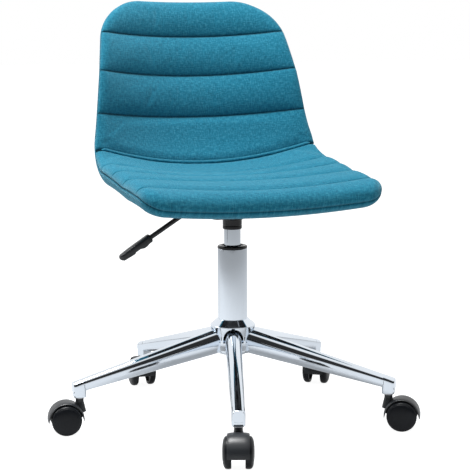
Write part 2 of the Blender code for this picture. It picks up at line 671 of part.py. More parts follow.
def panel(start, end, upper, lower, inset=0.0):
    """A closed panel of the shell between two distances, bounded by an upper and a lower layer."""
    steps = [s for s in EDGE_STEPS if s >= inset]
    rings = []
    for distance in (d for d in shell_rows() if start <= d <= end):
        width = half_width(distance)
        inner = [(width - steps[-1]) * share for share in INNER_SHARES]
        half = [width - s for s in steps] + inner
        across = [-a for a in half] + [0.0] + half[::-1]
        top = [shell_point(distance, a, upper) for a in across]
        bottom = [shell_point(distance, a, lower) for a in reversed(across)]
        rings.append(top + bottom)
    return grid_solid(rings)


def grid_solid(rings):
    """Skin the rings with triangles that slope alike in every layer, and cap both ends."""
    bm = bmesh.new()
    rows = [[bm.verts.new(p) for p in ring] for ring in rings]
    count = len(rows[0])
    half = count // 2
    for row, following in zip(rows, rows[1:]):
        for i in range(half - 1):
            low, low_next = count - 1 - i, count - 2 - i
            bm.faces.new((row[i], row[i + 1], following[i + 1]))
            bm.faces.new((row[i], following[i + 1], following[i]))
            bm.faces.new((row[low], following[low_next], row[low_next]))
            bm.faces.new((row[low], following[low], following[low_next]))
        for i, j in ((half - 1, half), (count - 1, 0)):
            bm.faces.new((row[i], row[j], following[j], following[i]))
    for row in (rows[0], rows[-1]):
        for i in range(half - 1):
            bm.faces.new((row[i], row[i + 1], row[count - 2 - i], row[count - 1 - i]))
    return mesh_from(bm, "panel")


def build_seat(frame):
    rows = shell_rows()
    crease = rows.index(CREASE_AT - 2 * GAP)
    back = panel(0, rows[crease], face_layer(1), lining_layer(1))
    seat = panel(rows[crease + 1], SHELL_LENGTH, face_layer(1), lining_layer(1))
    ply = panel(PLY_INSET, SHELL_LENGTH - PLY_INSET, ply_layer(1), ply_layer(-1), PLY_INSET)
    cover = panel(0, SHELL_LENGTH, lining_layer(-1), face_layer(-1))
    through = bolt_holes(0.34, BOLT_TOP_Z + 0.0010)
    add_part("back_pad", back, FABRIC, frame)
    add_part("seat_pad", seat, FABRIC, frame)
    add_part("seat_shell", combine(ply, through), PLYWOOD, frame)
    add_part("rear_cover", combine(cover, through), FABRIC, frame)


def main():
    clear_scene()
    frame = add_pivot("chair_frame", (COLUMN_X, COLUMN_Y, 0))
    build_base(frame)
    build_casters(frame)
    build_gas_lift(frame)
    build_mechanism(frame)
    build_seat(frame)
    bpy.context.view_layer.update()


main()
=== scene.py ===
"""Looks of the swivel office chair: channelled upholstery, chromed base, gas lift and casters.

Every length is in metres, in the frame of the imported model: +Z up, the floor at Z = 0.
The sitter faces -Y.
"""
import logging
import math
from dataclasses import dataclass
from enum import Enum

import bmesh
import bpy
import numpy as np
from mathutils import Euler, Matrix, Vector


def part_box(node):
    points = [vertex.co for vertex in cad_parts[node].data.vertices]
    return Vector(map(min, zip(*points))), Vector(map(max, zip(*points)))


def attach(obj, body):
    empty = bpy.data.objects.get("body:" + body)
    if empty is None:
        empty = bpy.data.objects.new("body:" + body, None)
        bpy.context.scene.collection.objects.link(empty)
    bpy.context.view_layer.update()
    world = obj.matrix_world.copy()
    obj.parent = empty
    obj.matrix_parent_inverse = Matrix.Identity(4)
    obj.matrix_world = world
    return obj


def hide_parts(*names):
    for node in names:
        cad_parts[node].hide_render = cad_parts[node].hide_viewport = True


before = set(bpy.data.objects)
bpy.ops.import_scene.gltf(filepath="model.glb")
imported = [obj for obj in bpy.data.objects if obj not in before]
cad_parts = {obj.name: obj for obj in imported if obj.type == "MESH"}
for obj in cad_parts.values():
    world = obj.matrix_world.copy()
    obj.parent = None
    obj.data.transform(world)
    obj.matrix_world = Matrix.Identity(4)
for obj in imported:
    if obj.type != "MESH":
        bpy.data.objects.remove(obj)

log = logging.getLogger("chair")

CLOTH_COORDS = "cloth"         # point attribute: metres across, metres along, and painted seam shade from 0 to 1
WELD = 1e-6


# ---- mesh helpers --------------------------------------------------------------------------------
@dataclass
class Patch:
    """Points and faces of one surface, with the cloth coordinates of its points where it is fabric."""

    points: np.ndarray
    faces: np.ndarray
    coords: np.ndarray | None = None


def grid_faces(rows: int, cols: int, wrap_rows: bool = False, wrap_cols: bool = False) -> np.ndarray:
    """Quads of a grid whose point (i, j) has the number i * cols + j.

    Args:
        rows: Number of rows of points.
        cols: Number of points in a row.
        wrap_rows: Whether the last row joins the first.
        wrap_cols: Whether the last point of a row joins its first.

    Returns:
        Corner numbers, one quad a row.
    """
    i = np.arange(rows if wrap_rows else rows - 1)[:, None]
    j = np.arange(cols if wrap_cols else cols - 1)[None, :]
    after_i, after_j = (i + 1) % rows, (j + 1) % cols
    corners = (i * cols + j, i * cols + after_j, after_i * cols + after_j, after_i * cols + j)
    return np.stack(np.broadcast_arrays(*corners), -1).reshape(-1, 4)


def join(patches: list[Patch]) -> Patch:
    """Put several patches into one, renumbering their faces.

    Args:
        patches: The surfaces.

    Returns:
        The surface.
    """
    starts = np.cumsum([0] + [len(p.points) for p in patches[:-1]])
    faces = np.concatenate([p.faces + start for p, start in zip(patches, starts)])
    return Patch(np.concatenate([p.points for p in patches]), faces)


def piece(name: str, patch: Patch, sharp: float = 32.0) -> bpy.types.Object:
    """Make a finished mesh object: doubles welded, normals outward, smooth with sharp corners kept.

    Args:
        name: Name of the piece.
        patch: Its surface.
        sharp: Corners sharper than this, in degrees, stay sharp.

    Returns:
        The new object, at the origin.
    """
    mesh = bpy.data.meshes.new(name)
    mesh.from_pydata(patch.points.tolist(), [], patch.faces.tolist())
    if patch.coords is not None:
        attribute = mesh.attributes.new(CLOTH_COORDS, "FLOAT_VECTOR", "POINT")
        attribute.data.foreach_set("vector", patch.coords.astype(np.float32).ravel())
    bm = bmesh.new()
    bm.from_mesh(mesh)
    bmesh.ops.remove_doubles(bm, verts=bm.verts, dist=WELD)
    bmesh.ops.dissolve_degenerate(bm, edges=bm.edges, dist=WELD)
    bmesh.ops.recalc_face_normals(bm, faces=bm.faces)
    bm.to_mesh(mesh)
    bm.free()
    mesh.shade_smooth()
    mesh.set_sharp_from_angle(angle=math.radians(sharp))
    obj = bpy.data.objects.new(name, mesh)
    bpy.context.scene.collection.objects.link(obj)
    return obj


def fit_out(obj: bpy.types.Object, body: str, slot: str, material: bpy.types.Material,
            *nodes: str) -> bpy.types.Object:
    """Dress a new piece and hang it on its body.

    Args:
        obj: The piece.
        body: The body that it rides on.
        slot: The record's material slot; not used.
        material: Its finish.
        nodes: The nodes that it stands for.

    Returns:
        The piece.
    """
    obj.data.materials.append(material)
    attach(obj, body)
    if nodes:
        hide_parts(*nodes)
    log.info("%s: %d points on %s", obj.name, len(obj.data.vertices), body)
    return obj


def subdivide(obj: bpy.types.Object, levels: int = 1) -> None:
    """Finish a piece with a subdivision surface.

    Args:
        obj: The piece's object.
        levels: How many times each face is split.
    """
    modifier = obj.modifiers.new("subdivision", "SUBSURF")
    modifier.levels = levels
    modifier.render_levels = levels


def rounded(corners: list[tuple[float, float]], radii: list[float] | float, steps: int = 5) -> np.ndarray:
    """Round the corners of an open outline.

    Each corner P becomes the curve (1-t)^2 A + 2t(1-t) P + t^2 B. A and B lie at the radius before and
    after it.

    Args:
        corners: Points of the outline.
        radii: The rounding at each inner corner, or one for all of them.
        steps: Steps round each corner.

    Returns:
        Points of the rounded outline.
    """
    p = np.array(corners, float)
    inner = len(p) - 2
    radius = np.broadcast_to(np.asarray(radii, float), (inner,))[:, None]
    before, after = p[:-2] - p[1:-1], p[2:] - p[1:-1]
    reach_before = np.minimum(radius, np.linalg.norm(before, axis=1, keepdims=True) / 2)
    reach_after = np.minimum(radius, np.linalg.norm(after, axis=1, keepdims=True) / 2)
    a = p[1:-1] + before / np.linalg.norm(before, axis=1, keepdims=True) * reach_before
    b = p[1:-1] + after / np.linalg.norm(after, axis=1, keepdims=True) * reach_after
    t = np.linspace(0, 1, steps + 1)[None, :, None]
    curve = (1 - t) ** 2 * a[:, None] + 2 * t * (1 - t) * p[1:-1][:, None] + t ** 2 * b[:, None]
    return np.concatenate([p[:1], curve.reshape(-1, 2), p[-1:]])


def lathe(profile: np.ndarray, segments: int = 96, closed: bool = False) -> Patch:
    """Turn a profile of (radius, height) about Z: (r cos a, r sin a, z).

    Args:
        profile: Its points, from end to end.
        segments: Steps round the axis.
        closed: Whether the profile's last point joins its first, as on a ring.

    Returns:
        The turned surface.
    """
    a = np.linspace(0, math.tau, segments, endpoint=False)
    r, z = profile[:, :1], profile[:, 1:]
    points = np.stack([r * np.cos(a), r * np.sin(a), np.broadcast_to(z, (len(r), segments))], -1)
    return Patch(points.reshape(-1, 3), grid_faces(len(r), segments, closed, True))


def moved(patch: Patch, turn: float = 0.0, to: np.ndarray | tuple = (0, 0, 0)) -> Patch:
    """Turn a patch about Z, then move it.

    Args:
        patch: The surface.
        turn: The turn about Z in radians.
        to: The move after the turn.

    Returns:
        The surface.
    """
    c, s = math.cos(turn), math.sin(turn)
    matrix = np.array([[c, -s, 0], [s, c, 0], [0, 0, 1]])
    return Patch(patch.points @ matrix.T + np.asarray(to, float), patch.faces, patch.coords)


def laid_along_y(patch: Patch) -> Patch:
    """Lay a surface turned about Z along Y: (x, y, z) goes to (x, z, -y).

    Args:
        patch: The surface.

    Returns:
        The surface.
    """
    x, y, z = patch.points.T
    return Patch(np.stack([x, z, -y], -1), patch.faces, patch.coords)


def rings(stack: np.ndarray) -> Patch:
    """Skin a stack of closed rings and close both ends at their middles.

    Args:
        stack: Ring points, shaped (rings, points, 3).

    Returns:
        The closed surface.
    """
    low = np.broadcast_to(stack[0].mean(0), stack[0].shape)
    high = np.broadcast_to(stack[-1].mean(0), stack[-1].shape)
    full = np.concatenate([low[None], stack, high[None]])
    return Patch(full.reshape(-1, 3), grid_faces(full.shape[0], full.shape[1], False, True))


def superellipse(steps: int, power: float) -> tuple[np.ndarray, np.ndarray]:
    """Unit curve |x|^p + |y|^p = 1 as (cos a, sin a), each to the power 2/p with its sign kept.

    Args:
        steps: How many points.
        power: The exponent, 2 for an ellipse.

    Returns:
        The values, as an array.
    """
    a = np.linspace(0, math.tau, steps, endpoint=False) + math.pi / steps
    c, s = np.cos(a), np.sin(a)
    return np.sign(c) * np.abs(c) ** (2 / power), np.sign(s) * np.abs(s) ** (2 / power)


def round_rectangle(width: float, depth: float, radius: float, steps: int = 8) -> np.ndarray:
    """Outline of a rectangle with round corners: a quarter circle about each corner's own centre.

    Args:
        width: The size across.
        depth: The size from front to rear.
        radius: The corners' radius.
        steps: How many points for each corner.

    Returns:
        The values, as an array.
    """
    a = np.linspace(0, math.pi / 2, steps + 1)
    quarter = np.stack([np.cos(a), np.sin(a)], -1) * radius
    turns = [(1, 1, 1), (-1, 1, -1), (-1, -1, 1), (1, -1, -1)]
    middle = np.array([width / 2 - radius, depth / 2 - radius])
    return np.concatenate([(quarter[::order] + middle) * (sx, sy) for sx, sy, order in turns])


def smoothstep(t: np.ndarray | float) -> np.ndarray:
    """3t^2 - 2t^3 between 0 and 1.

    Args:
        t: Where, from 0 to 1.

    Returns:
        The values, as an array.
    """
    t = np.clip(t, 0, 1)
    return t * t * (3 - 2 * t)


def sweep(path: np.ndarray, radius: np.ndarray | float, sides: int = 16,
          flat: float = 1.0, aside: tuple = (0, 1, 0)) -> Patch:
    """Carry an oval along a path: its flat axis stays across the given direction.

    Args:
        path: Points of the centre line.
        radius: Half height at each point.
        sides: Points round the oval.
        flat: Half width as a share of the half height.
        aside: Direction that the oval's width lies along.

    Returns:
        The closed surface.
    """
    run = np.gradient(path, axis=0)
    run /= np.linalg.norm(run, axis=1, keepdims=True)
    side = np.asarray(aside, float) - (run @ np.asarray(aside, float))[:, None] * run
    side /= np.linalg.norm(side, axis=1, keepdims=True)
    up = np.cross(side, run)
    a = np.linspace(0, math.tau, sides, endpoint=False)[None, :, None]
    r = np.broadcast_to(np.asarray(radius, float), (len(path),))[:, None, None]
    stack = path[:, None] + r * (np.cos(a) * side[:, None] * flat + np.sin(a) * up[:, None])
    return rings(stack)


def middle(node: str) -> np.ndarray:
    """Middle of a node's box.

    Args:
        node: The node's name.

    Returns:
        The values, as an array.
    """
    low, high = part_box(node)
    return np.array((low + high) / 2)


# ---- finishes ------------------------------------------------------------------------------------
class Graph:
    """A node tree with short ways to add and join nodes."""

    def __init__(self, owner: bpy.types.Material | bpy.types.World | str) -> None:
        """Start on a new material of the given name, or on what is given.

        Args:
            owner: The material or world.
        """
        self.material = bpy.data.materials.new(owner) if isinstance(owner, str) else owner
        self.material.use_nodes = True
        self.tree = self.material.node_tree
        self.shader = self.tree.nodes.get("Principled BSDF")

    def node(self, kind: str, **settings: object) -> bpy.types.Node:
        """Add a node and set its own settings.

        Args:
            kind: The node's type.
            settings: More settings.

        Returns:
            The node.
        """
        made = self.tree.nodes.new(kind)
        for key, value in settings.items():
            setattr(made, key, value)
        return made

    def link(self, source: bpy.types.NodeSocket, target: bpy.types.NodeSocket) -> None:
        """Join two sockets.

        Args:
            source: Where the value comes from.
            target: The input that it goes to.
        """
        self.tree.links.new(source, target)

    def value(self, socket: bpy.types.NodeSocket, given: object) -> None:
        """Set a socket to a number or colour, or join it to another socket.

        Args:
            socket: The input.
            given: A constant or an output.
        """
        if isinstance(given, bpy.types.NodeSocket):
            self.link(given, socket)
        else:
            socket.default_value = given

    def maths(self, operation: str, first: object, second: object = 0.0) -> bpy.types.NodeSocket:
        """A Math node of two inputs.

        Args:
            operation: The operation.
            first: The first operand.
            second: The second operand.

        Returns:
            The output.
        """
        made = self.node("ShaderNodeMath", operation=operation)
        self.value(made.inputs[0], first)
        self.value(made.inputs[1], second)
        return made.outputs[0]

    def object_coords(self) -> bpy.types.NodeSocket:
        """The piece's object coordinates.

        Returns:
            The output.
        """
        return self.node("ShaderNodeTexCoord").outputs["Object"]

    def noise(self, vector: bpy.types.NodeSocket, scale: float, detail: float = 3.0,
              stretch: tuple[float, float, float] = (1, 1, 1)) -> bpy.types.NodeSocket:
        """Noise of 0 to 1, stretched by a mapping where the three scales differ.

        Args:
            vector: Where the noise is read.
            scale: Its scale.
            detail: Its octaves.
            stretch: A factor for each axis.

        Returns:
            The output.
        """
        if stretch != (1, 1, 1):
            mapping = self.node("ShaderNodeMapping")
            mapping.inputs["Scale"].default_value = stretch
            self.link(vector, mapping.inputs["Vector"])
            vector = mapping.outputs[0]
        made = self.node("ShaderNodeTexNoise")
        made.inputs["Scale"].default_value = scale
        made.inputs["Detail"].default_value = detail
        self.link(vector, made.inputs["Vector"])
        return made.outputs["Fac"]

    def spread(self, source: bpy.types.NodeSocket, low: float, high: float,
               start: float = 0.3, end: float = 0.7) -> bpy.types.NodeSocket:
        """Map a noise's usual spread from start to end onto low to high.

        Args:
            source: Where the value comes from.
            low: The source value that gives the start.
            high: The source value that gives the end.
            start: The lower result.
            end: The upper result.

        Returns:
            The output.
        """
        made = self.node("ShaderNodeMapRange")
        for key, given in (("From Min", start), ("From Max", end), ("To Min", low), ("To Max", high)):
            made.inputs[key].default_value = given
        self.link(source, made.inputs["Value"])
        return made.outputs[0]

    def mix(self, share: object, first: object, second: object) -> bpy.types.NodeSocket:
        """Mix two colours.

        Args:
            share: How much of the second.
            first: The first operand.
            second: The second operand.

        Returns:
            The output.
        """
        made = self.node("ShaderNodeMix", data_type="RGBA")
        self.value(made.inputs[0], share)
        self.value(made.inputs[6], first)
        self.value(made.inputs[7], second)
        return made.outputs[2]

    def ramp(self, share: bpy.types.NodeSocket,
             stops: tuple[tuple[float, object], ...]) -> bpy.types.NodeSocket:
        """A colour ramp whose stops are (position, grey level or colour).

        Args:
            share: Where the ramp is read.
            stops: Pairs of position and value.

        Returns:
            The output.
        """
        made = self.node("ShaderNodeValToRGB")
        elements = made.color_ramp.elements
        elements.remove(elements[1])
        elements[0].position = stops[0][0]
        for position, _ in stops[1:]:
            elements.new(position)
        for element, (_, level) in zip(elements, stops):
            element.color = rgba(level if isinstance(level, tuple) else (level,) * 3)
        self.link(share, made.inputs[0])
        return made.outputs[0]

    def bump(self, height: bpy.types.NodeSocket, distance: float, strength: float = 1.0,
             below: bpy.types.NodeSocket | None = None) -> bpy.types.NodeSocket:
        """A Bump node, laid over another one where it is given.

        Args:
            height: Where the height comes from.
            distance: The bump's depth in metres.
            strength: The strength.
            below: A bump under this one.

        Returns:
            The output.
        """
        made = self.node("ShaderNodeBump")
        made.inputs["Distance"].default_value = distance
        made.inputs["Strength"].default_value = strength
        self.link(height, made.inputs["Height"])
        if below is not None:
            self.link(below, made.inputs["Normal"])
        return made.outputs[0]

    def finish(self, **sockets: object) -> bpy.types.Material:
        """Set the shader's sockets by name, with spaces written as underscores.

        Returns:
            The material.
        """
        for key, given in sockets.items():
            self.value(self.shader.inputs[key.replace("_", " ")], given)
        return self.material


def rgba(colour: tuple[float, float, float], share: float = 1.0) -> tuple[float, float, float, float]:
    """A colour scaled by a share, with full opacity.

    Args:
        colour: Linear red, green and blue.
        share: A factor on the colour.

    Returns:
        The value.
    """
    return (*(c * share for c in colour), 1.0)


@dataclass(frozen=True)
class Chrome:
    """Bright plated metal: faint waves from polishing and a breath of smears."""

    colour: tuple[float, float, float] = (0.77, 0.83, 0.90)
    roughness: tuple[float, float] = (0.035, 0.085)
    wave: float = 0.00006

    def material(self, name: str) -> bpy.types.Material:
        """Build the material.

        Args:
            name: The name.

        Returns:
            The material.
        """
        g = Graph(name)
        at = g.object_coords()
        smears = g.spread(g.noise(at, 22, 4), *self.roughness)
        waves = g.bump(g.noise(at, 30, 1), self.wave)
        tint = g.mix(g.spread(g.noise(at, 9, 2), 0, 1), rgba(self.colour), rgba(self.colour, 0.93))
        return g.finish(Base_Color=tint, Metallic=1.0, Roughness=smears, Normal=waves)


@dataclass(frozen=True)
class Zinc:
    """Dull plated steel with a fine drawn grain."""

    colour: tuple[float, float, float] = (0.52, 0.53, 0.55)

    def material(self, name: str) -> bpy.types.Material:
        """Build the material.

        Args:
            name: The name.

        Returns:
            The material.
        """
        g = Graph(name)
        at = g.object_coords()
        cloud = g.noise(at, 60, 4)
        tint = g.mix(g.spread(cloud, 0, 1), rgba(self.colour, 0.8), rgba(self.colour, 1.1))
        rough = g.spread(g.noise(at, 200, 3), 0.26, 0.42)
        return g.finish(Base_Color=tint, Metallic=1.0, Roughness=rough,
                        Normal=g.bump(g.noise(at, 900, 2), 0.00004))


@dataclass(frozen=True)
class Moulded:
    """Moulded plastic: fine spark-eroded grain, with rubbed patches a little glossier."""

    colour: tuple[float, float, float] = (0.012, 0.013, 0.015)
    roughness: tuple[float, float] = (0.30, 0.42)
    grain: float = 0.00004
    specular: float = 0.5

    def material(self, name: str) -> bpy.types.Material:
        """Build the material.

        Args:
            name: The name.

        Returns:
            The material.
        """
        g = Graph(name)
        at = g.object_coords()
        rub = g.noise(at, 35, 3)
        tint = g.mix(g.spread(rub, 0, 1), rgba(self.colour), rgba(self.colour, 1.35))
        rough = g.spread(rub, self.roughness[1], self.roughness[0])
        return g.finish(Base_Color=tint, Roughness=rough, Specular_IOR_Level=self.specular,
                        Normal=g.bump(g.noise(at, 1800, 2), self.grain))


@dataclass(frozen=True)
class PowderCoat:
    """Black powder-coated steel with an orange-peel skin."""

    colour: tuple[float, float, float] = (0.014, 0.014, 0.015)

    def material(self, name: str) -> bpy.types.Material:
        """Build the material.

        Args:
            name: The name.

        Returns:
            The material.
        """
        g = Graph(name)
        at = g.object_coords()
        peel = g.bump(g.noise(at, 420, 2), 0.00010)
        rough = g.spread(g.noise(at, 25, 4), 0.36, 0.52)
        tint = g.mix(g.spread(g.noise(at, 70, 4), 0, 1), rgba(self.colour), rgba(self.colour, 1.6))
        return g.finish(Base_Color=tint, Roughness=rough, Normal=peel)


@dataclass(frozen=True)
class Plywood:
    """Bare beech plywood with stretched grain."""

    light: tuple[float, float, float] = (0.58, 0.42, 0.26)
    dark: tuple[float, float, float] = (0.38, 0.25, 0.14)

    def material(self, name: str) -> bpy.types.Material:
        """Build the material.

        Args:
            name: The name.

        Returns:
            The material.
        """
        g = Graph(name)
        at = g.object_coords()
        grain = g.noise(at, 40, 5, (8, 1, 1))
        tint = g.mix(g.spread(grain, 0, 1), rgba(self.light), rgba(self.dark))
        return g.finish(Base_Color=tint, Roughness=g.spread(grain, 0.5, 0.7),
                        Normal=g.bump(grain, 0.0002))


@dataclass(frozen=True)
class Rubber:
    """Matt rubber with a dusty bloom."""

    colour: tuple[float, float, float] = (0.015, 0.015, 0.015)

    def material(self, name: str) -> bpy.types.Material:
        """Build the material.

        Args:
            name: The name.

        Returns:
            The material.
        """
        g = Graph(name)
        at = g.object_coords()
        tint = g.mix(g.spread(g.noise(at, 90, 4), 0, 1), rgba(self.colour), rgba(self.colour, 2.0))
        return g.finish(Base_Color=tint, Roughness=0.8, Normal=g.bump(g.noise(at, 700, 3), 0.0001))


@dataclass(frozen=True)
class Weave:
    """Plain-woven melange cloth whose yarns run along the piece's own cloth coordinates."""

    dark: tuple[float, float, float] = (0.002, 0.086, 0.148)
    mid: tuple[float, float, float] = (0.005, 0.152, 0.242)
    light: tuple[float, float, float] = (0.042, 0.262, 0.372)
    pitch: float = 0.0010          # from one yarn to the next
    fleck: float = 0.0075          # how far one shade of yarn runs
    relief: float = 0.00022
    sheen: float = 0.34
    painted_seam_shade: float = 0.62       # how strongly painted shade darkens the cloth at a seam and at the pad's edge

    def material(self, name: str) -> bpy.types.Material:
        """Build the material.

        Painted shade darkens the cloth towards each seam and towards the pad's edge.
        Warp shows where sin(pi u) sin(pi v) is positive and weft elsewhere, u and v counting yarns. Each yarn
        has its own run of light and dark flecks, and the yarns stand proud where they cross over.

        Args:
            name: The name.

        Returns:
            The material.
        """
        g = Graph(name)
        at = g.node("ShaderNodeAttribute", attribute_name=CLOTH_COORDS).outputs["Vector"]
        split = g.node("ShaderNodeSeparateXYZ")
        g.link(at, split.inputs[0])
        half_turns = math.pi / self.pitch
        across = g.maths("SINE", g.maths("MULTIPLY", split.outputs[0], half_turns))
        along = g.maths("SINE", g.maths("MULTIPLY", split.outputs[1], half_turns))
        over = g.maths("MULTIPLY", across, along)
        warp_on_top = g.spread(over, 0, 1, -0.15, 0.15)
        yarns, runs = 1 / (self.pitch * 2), 1 / self.fleck
        weft = g.noise(at, 1.0, 2, (runs, yarns, 0))
        warp = g.noise(at, 1.0, 2, (yarns, runs, 0))
        fleck = g.node("ShaderNodeMix", data_type="FLOAT")
        g.link(warp_on_top, fleck.inputs[0])
        g.link(weft, fleck.inputs[2])
        g.link(warp, fleck.inputs[3])
        shade = g.spread(fleck.outputs[0], 0, 1, 0.28, 0.72)
        yarn = g.ramp(shade, ((0, self.dark), (0.5, self.mid), (1, self.light)))
        rubbed = g.spread(g.noise(at, 9, 3, (1, 1, 0)), 0, 0.10)
        worn = g.mix(rubbed, yarn, rgba(self.light))
        # painted shade: the cloth darkens towards dark * 0.35 by the seam share held in the cloth
        # coordinates' third value
        painted_seam_shade_share = g.maths("MULTIPLY", split.outputs[2], self.painted_seam_shade)
        colour = g.mix(painted_seam_shade_share, worn, rgba(self.dark, 0.35))
        crown = g.maths("ABSOLUTE", over)
        slub = g.noise(at, 160, 2)
        height = g.maths("ADD", crown, g.maths("MULTIPLY", slub, 0.8))
        bump = g.bump(height, self.relief, 0.9)
        return g.finish(Base_Color=colour, Roughness=0.92, Specular_IOR_Level=0.18, Normal=bump,
                        Sheen_Weight=self.sheen, Sheen_Roughness=0.45,
                        Sheen_Tint=rgba((0.55, 0.86, 0.95)))


@dataclass(frozen=True)
class DustCloth:
    """Black non-woven cloth under the seat: matted fibres and a grid of bonding dimples."""

    colour: tuple[float, float, float] = (0.010, 0.010, 0.011)
    dimple: float = 0.0025

    def material(self, name: str) -> bpy.types.Material:
        """Build the material: the dimples are cos^2 across times cos^2 along.

        Args:
            name: The name.

        Returns:
            The material.
        """
        g = Graph(name)
        at = g.node("ShaderNodeAttribute", attribute_name=CLOTH_COORDS).outputs["Vector"]
        split = g.node("ShaderNodeSeparateXYZ")
        g.link(at, split.inputs[0])
        waves = [g.maths("COSINE", g.maths("MULTIPLY", split.outputs[i], math.pi / self.dimple))
                 for i in (0, 1)]
        dimples = g.maths("POWER", g.maths("MULTIPLY", *waves), 2.0)
        fibres = g.noise(at, 900, 4)
        tint = g.mix(g.spread(fibres, 0, 1), rgba(self.colour), rgba(self.colour, 2.2))
        height = g.maths("ADD", g.maths("MULTIPLY", dimples, -1.0), fibres)
        return g.finish(Base_Color=tint, Roughness=0.95, Specular_IOR_Level=0.2,
                        Normal=g.bump(height, 0.00015))


class Finish(Enum):
    """The finishes of the chair's pieces."""

    CHROME = Chrome()
    ZINC = Zinc()
    HOOD = Moulded(colour=(0.014, 0.016, 0.019), roughness=(0.32, 0.42), grain=0.00005, specular=0.45)
    WHEEL = Moulded(colour=(0.005, 0.006, 0.008), roughness=(0.26, 0.36), grain=0.00001, specular=0.22)
    SLEEVE = Moulded(colour=(0.005, 0.005, 0.006), roughness=(0.14, 0.22), grain=0.00001, specular=0.35)
    GRIP = Moulded(colour=(0.010, 0.012, 0.014), roughness=(0.28, 0.38), specular=0.5)
    # painted shade: near-black finish for the hub's pockets, where only shadow falls
    PAINTED_POCKET_SHADE = Moulded(colour=(0.006, 0.006, 0.007), roughness=(0.55, 0.70), specular=0.2)
    BLACK_STEEL = PowderCoat()
    PLYWOOD = Plywood()
    RUBBER = Rubber()
    CLOTH = Weave()
    DUST_CLOTH = DustCloth()

    def material(self) -> bpy.types.Material:
        """The finish's one shared material.

        Returns:
            The material.
        """
        name = f"{self.name.lower()}_finish"
        return bpy.data.materials.get(name) or self.value.material(name)


